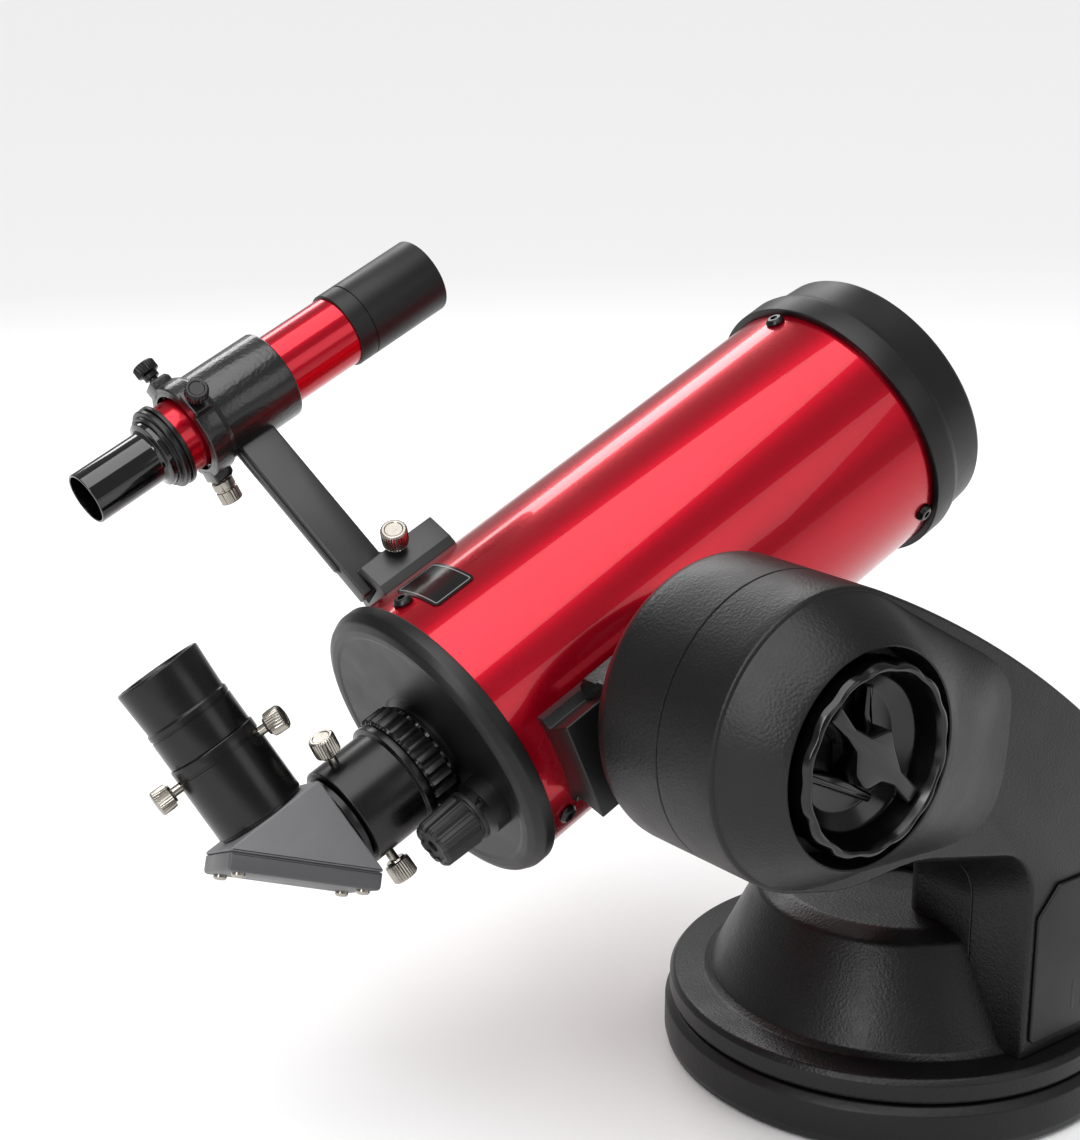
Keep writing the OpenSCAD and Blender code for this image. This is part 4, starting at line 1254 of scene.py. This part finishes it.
@dataclass
class Arm:
    """The mount's arm: two moulded shells that meet at a seam, a boss round the knob, a battery cover.

    The outline is drawn in planes across Y, from the head's centre: X forward and Z up.

    Attributes:
        head_r: Radius of the round head.
        inner_y: Inner face, as a distance in -Y.
        seam_y: Joint between the shells.
        outer_y: Flat outer face.
        rim_y: Rim of the knob's recess.
        recess_y: Floor of the recess.
        recess_r: Radius of the recess.
        foot_z: Bottom of the arm.
    """

    head_r: float = 56.0
    inner_y: float = 23.5
    seam_y: float = 60.2
    outer_y: float = 88.0
    rim_y: float = 108.5
    recess_y: float = 92.0
    recess_r: float = 39.7
    foot_z: float = 34.3

    def outline(self, inset: float, tuck: float) -> Array:
        """Return the arm's outline.

        The head is an arc. The top edge is a slow arc of 562 mm that turns into the elbow's arc of 44 mm,
        and the under edge is a tangent of the head that turns into the column by an inner arc of 24 mm.

        Args:
            inset: Distance to shrink the outline.
            tuck: Distance that the under edge rises away from the head.

        Returns:
            Points (x, z) from the head's centre, counterclockwise.
        """
        def arc(centre: Array, radius: float, start: float, end: float, count: int) -> Array:
            """Return points of an arc between two angles in degrees."""
            angle = np.radians(np.linspace(start, end, count))
            return centre + radius * np.stack([np.cos(angle), np.sin(angle)], -1)

        def unit(degrees: float) -> Array:
            """Return a unit vector."""
            return vec([math.cos(math.radians(degrees)), math.sin(math.radians(degrees))])

        under, top_r, elbow_r, crook_r, column = 256.0, 562.0, 44.0, 24.0, 116.0
        top_centre = (self.head_r - top_r) * unit(66.0)
        elbow = top_centre + (top_r - elbow_r) * unit(45.5)
        crook_x = column - crook_r
        crook_z = (self.head_r + crook_r - crook_x * unit(under)[0]) / unit(under)[1]
        foot = self.foot_z - ALTITUDE[2] + inset * 0.2
        crook = arc(vec([crook_x, crook_z]), crook_r + inset, under - 180.0, 0.0, 16)
        head = arc(vec([0.0, 0.0]), self.head_r - inset, 66.0, under, 90)
        straight = np.linspace(head[-1], crook[0], 14)[1:-1]
        lower = np.vstack([straight, crook])
        lift = np.clip((lower[:, 0] - 5.0) / 50.0, 0.0, 1.0)
        lower = lower + (tuck * lift * lift * (3.0 - 2.0 * lift))[:, None] * -unit(under)
        left = np.linspace(lower[-1], vec([lower[-1][0], foot]), 8)[1:]
        right = elbow[0] + elbow_r - inset
        floor = np.linspace(left[-1], vec([right, foot]), 8)[1:]
        rise = np.linspace(floor[-1], vec([right, elbow[1]]), 6)[1:]
        bend = arc(elbow, elbow_r - inset, 0.0, 45.5, 16)[1:]
        back = arc(top_centre, top_r - inset, 45.5, 66.0, 30)[1:-1]
        return np.vstack([head, lower, left, floor, rise, bend, back])

    def ring(self, inset: float, y: float, tuck: float = 0.0) -> Array:
        """Return the outline at a distance y in -Y, in the row frame in millimetres."""
        flat = self.outline(inset, tuck)
        return np.stack([flat[:, 0] + ALTITUDE[0], np.full(len(flat), -y), flat[:, 1] + ALTITUDE[2]], -1)

    def build(self) -> None:
        """Build both shells, the battery cover and the knob."""
        self._inner_shell()
        self._outer_shell()
        self._cover()
        ClutchKnob().build()

    def _inner_shell(self) -> None:
        """Build the inner shell: a rounded inner edge of 9 mm, straight sides, and a groove at the seam."""
        rows = []
        for a in np.linspace(0.0, math.pi / 2.0, 9):
            rows.append(self.ring(8.0 * (1 - math.sin(a)), self.inner_y + 9.0 * (1 - math.cos(a))))
        rows += [self.ring(0.0, y) for y in (45.0, self.seam_y - 0.55)]
        rows += [self.ring(0.25, self.seam_y - 0.3), self.ring(0.9, self.seam_y)]
        shell = Shell().grid(np.array(rows) * MM, cap=True)
        shell.piece("arm_shell_inner", PEBBLED_ABS, Body.ARM, ["arm_inner_shell"])

    def _tuck(self, y: float) -> float:
        """Return how far the under edge has risen at y: a straight bevel from the seam to the outer face."""
        return 11.0 * min(1.0, max(0.0, (y - self.seam_y - 1.0) / (self.outer_y - self.seam_y - 2.0)))

    def _outer_shell(self) -> None:
        """Build the outer shell: side, bevelled under edge, rounded outer edge, and the knob's boss."""
        rows = [self.ring(0.9, self.seam_y), self.ring(0.25, self.seam_y + 0.3),
                self.ring(0.0, self.seam_y + 0.55)]
        rows += [self.ring(0.0, y, self._tuck(y)) for y in (64.0, 70.0, 76.0, 82.0, 86.4)]
        for a in np.linspace(0.3, math.pi / 2.0, 4):
            y = 86.4 + 1.6 * math.sin(a)
            rows.append(self.ring(1.6 * (1 - math.cos(a)), y, self._tuck(y)))
        shell = Shell().grid(np.array(rows) * MM, cap=True)
        self._boss(shell)
        shell.piece("arm_shell_outer", PEBBLED_ABS, Body.ARM, ["arm_outer_shell"],
                    sharp=math.radians(25.0))

    def _boss(self, shell: Shell) -> None:
        """Add the boss: a surface ruled from its foot on the outer face to the recess's rim, and the recess.

        The foot is the head's circle behind the knob, and runs out along the neck to a straight crease,
        whose corners are softened by a sliding mean over 17 steps of 1.5 degrees.

        Args:
            shell: Shell that takes the surface.
        """
        count = 240
        angle = np.linspace(0.0, TAU, count, endpoint=False)
        circle = np.stack([np.cos(angle), np.sin(angle)], -1)
        crease = vec([[99.0, 4.0], [96.0, -42.0], [86.0, -58.0]])
        foot_r = self.head_r - 1.5
        reach = np.full(count, foot_r)
        start, end = math.radians(-83.0), math.radians(52.0)
        around = np.where(angle > math.pi, angle - TAU, angle)
        corner = [foot_r * vec([math.cos(start), math.sin(start)]), crease[2], crease[1], crease[0],
                  foot_r * vec([math.cos(end), math.sin(end)])]
        for p, q in zip(corner[:-1], corner[1:]):
            a0, a1 = math.atan2(p[1], p[0]), math.atan2(q[1], q[0])
            inside = (around >= a0) & (around <= a1)
            d = q - p
            top = p[0] * d[1] - p[1] * d[0]
            bottom = np.cos(around) * d[1] - np.sin(around) * d[0]
            reach = np.where(inside, top / np.where(np.abs(bottom) < 1e-9, 1e-9, bottom), reach)
        window = np.hanning(19)[1:-1] / np.hanning(19).sum()
        near = np.concatenate([reach[-8:], reach, reach[:8]])
        foot = circle * np.convolve(near, window, "valid")[:, None]
        rim = circle * (self.recess_r + 1.3)
        rows = [(foot * 0.99, self.outer_y - 1.0), (foot, self.outer_y - 0.1)]
        for s in np.linspace(0.0, 1.0, 9)[1:-1]:
            swell = 1.1 * math.sin(math.pi * s)
            rows.append((foot + (rim - foot) * s,
                         self.outer_y + (self.rim_y - 0.5 - self.outer_y) * s + swell))
        rows += [(rim, self.rim_y - 0.5), (circle * (self.recess_r + 0.7), self.rim_y),
                 (circle * (self.recess_r + 0.1), self.rim_y - 0.3),
                 (circle * self.recess_r, self.rim_y - 0.9),
                 (circle * self.recess_r, self.recess_y + 0.8),
                 (circle * (self.recess_r - 0.8), self.recess_y), (circle * 5.0, self.recess_y)]
        points = [np.stack([c[:, 0] + ALTITUDE[0], np.full(count, -y), c[:, 1] + ALTITUDE[2]], -1)
                  for c, y in rows]
        shell.grid(np.array(points) * MM, cap=True)

    def _cover(self) -> None:
        """Build the battery cover with its clipped upper corner."""
        place = Axes(vec([ALTITUDE[0], 0.0, ALTITUDE[2]]), vec([1.0, 0, 0]), vec([0.0, -1.0, 0.0]),
                     vec([0.0, 0.0, 1.0]))
        corners = [(122.0, -104.0, 2.0), (134.0, -92.0, 2.0), (194.0, -92.0, 3.0), (194.0, -160.0, 3.0),
                   (122.0, -160.0, 3.0)]
        shell = slab(Shell(), place, corners[::-1], self.outer_y + 0.02, self.outer_y + 1.6, 0.7)
        for i in range(5):
            x = 146.0 + 6.0 * i
            slab(shell, place, [(x, -152.0, 0.8), (x + 2.2, -152.0, 0.8), (x + 2.2, -138.0, 0.8),
                                (x, -138.0, 0.8)], self.outer_y + 1.2, self.outer_y + 1.65, 0.3)
        shell.piece("battery_cover", SATIN_ABS, Body.ARM, ["arm_panel"])


@dataclass
class Turntable:
    """The turning platform and the fixed base under it.

    Attributes:
        disc_r: Radius of the platform's disc.
        dome_low: Radius of the dome at the disc.
        dome_high: Radius of the dome at its shoulder.
        top: Height of the dome's shoulder.
        base_r: Radius of the base.
        base_h: Height of the base.
    """

    disc_r: float = 98.0
    dome_low: float = 80.0
    dome_high: float = 61.0
    top: float = 75.0
    base_r: float = 100.0
    base_h: float = 22.0

    def build(self) -> None:
        """Build the platform and the base as turned pieces."""
        axes = Axes(vec([0.0, 0.0, 0.0]), vec([0.0, 0.0, 1.0]), vec([0.0, 1.0, 0.0]),
                    vec([-1.0, 0.0, 0.0]))
        low = self.base_h + 1.5
        disc = [(16.0, low + 8.5), (39.0, low + 8.5), (39.0, low), (self.disc_r - 0.6, low, 0.6),
                (self.disc_r, low + 1.5, 0.6), (self.disc_r, 31.5, 0.8), (self.disc_r - 1.8, 34.0, 1.8),
                (self.dome_low + 3.0, 34.0, 2.5), (self.dome_low, 36.0, 2.5),
                (self.dome_high, self.top, 5.0), (self.dome_high - 8.0, self.top + 4.0, 5.0),
                (16.0, self.top + 4.0), (16.0, self.top + 1.0), (self.dome_high - 12.0, self.top + 1.0),
                (self.dome_low - 4.0, 36.0), (41.0, 36.0), (41.0, 34.0), (16.0, 34.0)]
        revolve(Shell(), axes, disc, 256).piece("platform_dome", PEBBLED_ABS, Body.ARM, ["turntable"])
        r, h = self.base_r, self.base_h
        base = [(4.0, 0.0), (r - 4.0, 0.0, 0.8), (r - 1.0, 2.5, 1.2), (r, 6.0, 1.5), (r, h - 3.0, 1.5),
                (r - 3.0, h, 1.5), (15.0, h), (15.0, self.top), (0.0, self.top), (0.0, 14.0), (4.0, 14.0)]
        shell = revolve(Shell(), axes, base, 256)
        revolve(shell, axes, [(14.0, 40.0), (36.0, 40.0, 0.5), (36.0, 48.0, 0.5), (14.0, 48.0)], 192,
                ribs(60, 1.2, 40.2, 47.8))
        shell.piece("base_casting", CRACKLE_IRON, Body.BASE, ["base_body"])


@dataclass
class CarriedParts:
    """CAD parts that are shown as they are, with a finish each.

    Attributes:
        finishes: Node name to its finish.
    """

    finishes: dict[str, Finish | OpticalGlass] = field(default_factory=lambda: {
        "secondary_spot": SPOT_FILM, "secondary_baffle": BLACK_ANODISED, "primary_mirror": MIRROR_FILM,
        "mirror_carrier": TURNED_ALUMINIUM, "baffle_tube": BLACK_ANODISED, "focus_boss": SATIN_ABS,
        "focus_rod": TURNED_STEEL, "prism": GLASS, "finder_o_ring": RUBBER, "finder_eye_lens": GLASS,
        "plunger_pin": TURNED_STEEL, "saddle": HAMMERED_PAINT, "saddle_jaw": HAMMERED_PAINT,
        "saddle_knob": RUBBER, "altitude_shaft": TURNED_STEEL, "altitude_wheel": GEAR_BRASS,
        "altitude_worm": TURNED_STEEL, "drive_motors": TURNED_STEEL, "azimuth_worm": TURNED_STEEL})

    def build(self) -> None:
        """Give every carried part its material, and hidden parts a matching one."""
        slots = {finish.slot: finish for finish in PLAIN_FINISHES}
        by_node = {s["node"]: s["material_slot"] for s in frame["record"]["subparts"]}
        for name, node in frame["nodes"].items():
            finish = self.finishes.get(name) or slots[by_node[name]]
            for place in node.material_slots:
                place.material = finish.material()
            LOG.info("carried %s: %s", name, finish.name)


@dataclass
class Studio:
    """Camera, soft lights and the pale floor.

    Attributes:
        eye: Camera's place from the altitude axis, in millimetres.
        azimuth: Direction of view, in degrees from +Y towards -X.
        elevation: Height of the view over the horizon, in degrees.
        lens: Focal length on a 36 mm wide sensor.
        overhead: Strength of the light from above.
        surround: Strength of the even surround.
        floor_m: Half of the floor's width, in metres.
    """

    eye: tuple[float, float, float] = (-506.3, -629.9, 268.5)
    azimuth: float = -38.0
    elevation: float = 16.53
    lens: float = 70.65
    overhead: float = 2.15
    surround: float = 0.34
    floor_m: float = 30.0

    def build(self) -> None:
        """Make the camera, the lights, the world and the floor."""
        scene = bpy.context.scene
        data = bpy.data.cameras.new("camera")
        data.lens = self.lens
        data.sensor_width = 36.0
        data.sensor_fit = "HORIZONTAL"
        data.clip_start = 0.01
        camera = bpy.data.objects.new("camera", data)
        camera.location = (TUBE.origin + vec(self.eye)) * MM
        camera.rotation_euler = (math.radians(90.0 - self.elevation), 0.0, math.radians(self.azimuth))
        scene.collection.objects.link(camera)
        scene.camera = camera
        scene.view_settings.view_transform = "Standard"
        self._floor(scene)
        self._world(scene)
        self._overhead(scene)
        self._softbox(scene, "softbox_camera_left", (-1.4, -0.7, 0.9), (0.35, 1.3), 13.0)
        self._softbox(scene, "softbox_camera_right", (0.5, -1.6, 0.8), (0.8, 0.8), 3.0)
        self._softbox(scene, "strip_behind", (0.5, 1.3, 1.0), (1.4, 0.4), 10.0)

    def _overhead(self, scene: bpy.types.Scene) -> None:
        """Add the broad light from above, which also makes the floor pale out to its edge.

        Args:
            scene: Scene that takes the light.
        """
        data = bpy.data.lights.new("overhead_bank", "SUN")
        data.energy = self.overhead
        data.angle = math.radians(55.0)
        light = bpy.data.objects.new("overhead_bank", data)
        light.rotation_euler = Vector((0.25, 0.15, -1.0)).to_track_quat("-Z", "Y").to_euler()
        scene.collection.objects.link(light)

    def _softbox(self, scene: bpy.types.Scene, name: str, offset_m: tuple[float, float, float],
                 size: tuple[float, float], watts: float) -> None:
        """Add a rectangular area light that faces the tube.

        Args:
            scene: Scene that takes the light.
            name: Name of the light.
            offset_m: Place from the altitude axis, in metres.
            size: Width and height, in metres.
            watts: Power of the light.
        """
        data = bpy.data.lights.new(name, "AREA")
        data.shape = "RECTANGLE"
        data.size, data.size_y = size
        data.energy = watts
        light = bpy.data.objects.new(name, data)
        light.location = TUBE.origin * MM + vec(offset_m)
        light.rotation_euler = Vector(-vec(offset_m)).to_track_quat("-Z", "Y").to_euler()
        scene.collection.objects.link(light)

    def _floor(self, scene: bpy.types.Scene) -> None:
        """Make the flat floor at z = 0, wide enough to fill the view.

        Args:
            scene: Scene that takes the floor.
        """
        span = np.linspace(-self.floor_m, self.floor_m, 21)
        x, y = np.meshgrid(span, span)
        number = np.arange(x.size).reshape(x.shape)
        quads = np.stack([number[:-1, :-1], number[:-1, 1:], number[1:, 1:], number[1:, :-1]],
                         -1).reshape(-1, 4)
        mesh = bpy.data.meshes.new("floor")
        mesh.from_pydata(np.stack([x, y, 0.0 * x], -1).reshape(-1, 3).tolist(), [], quads.tolist())
        mesh.materials.append(FLOOR_PAPER.material())
        floor = bpy.data.objects.new("floor", mesh)
        scene.collection.objects.link(floor)

    def _world(self, scene: bpy.types.Scene) -> None:
        """Make an even pale surround.

        Args:
            scene: Scene that takes the world.
        """
        world = bpy.data.worlds.new("studio")
        world.use_nodes = True
        background = world.node_tree.nodes["Background"]
        background.inputs["Color"].default_value = linear("#f7f7f7")
        background.inputs["Strength"].default_value = self.surround
        scene.world = world


def main() -> None:
    """Build every sub-assembly."""
    logging.basicConfig(level=logging.INFO, format="%(name)s: %(message)s")
    for part in (CarriedParts(), OpticalTube(), Focuser(), RearPort(), StarDiagonal(), Eyepiece(),
                 Finder(), Arm(), Turntable(), Studio()):
        LOG.info("building %s", type(part).__name__)
        part.build()


if __name__ == "__main__":
    main()
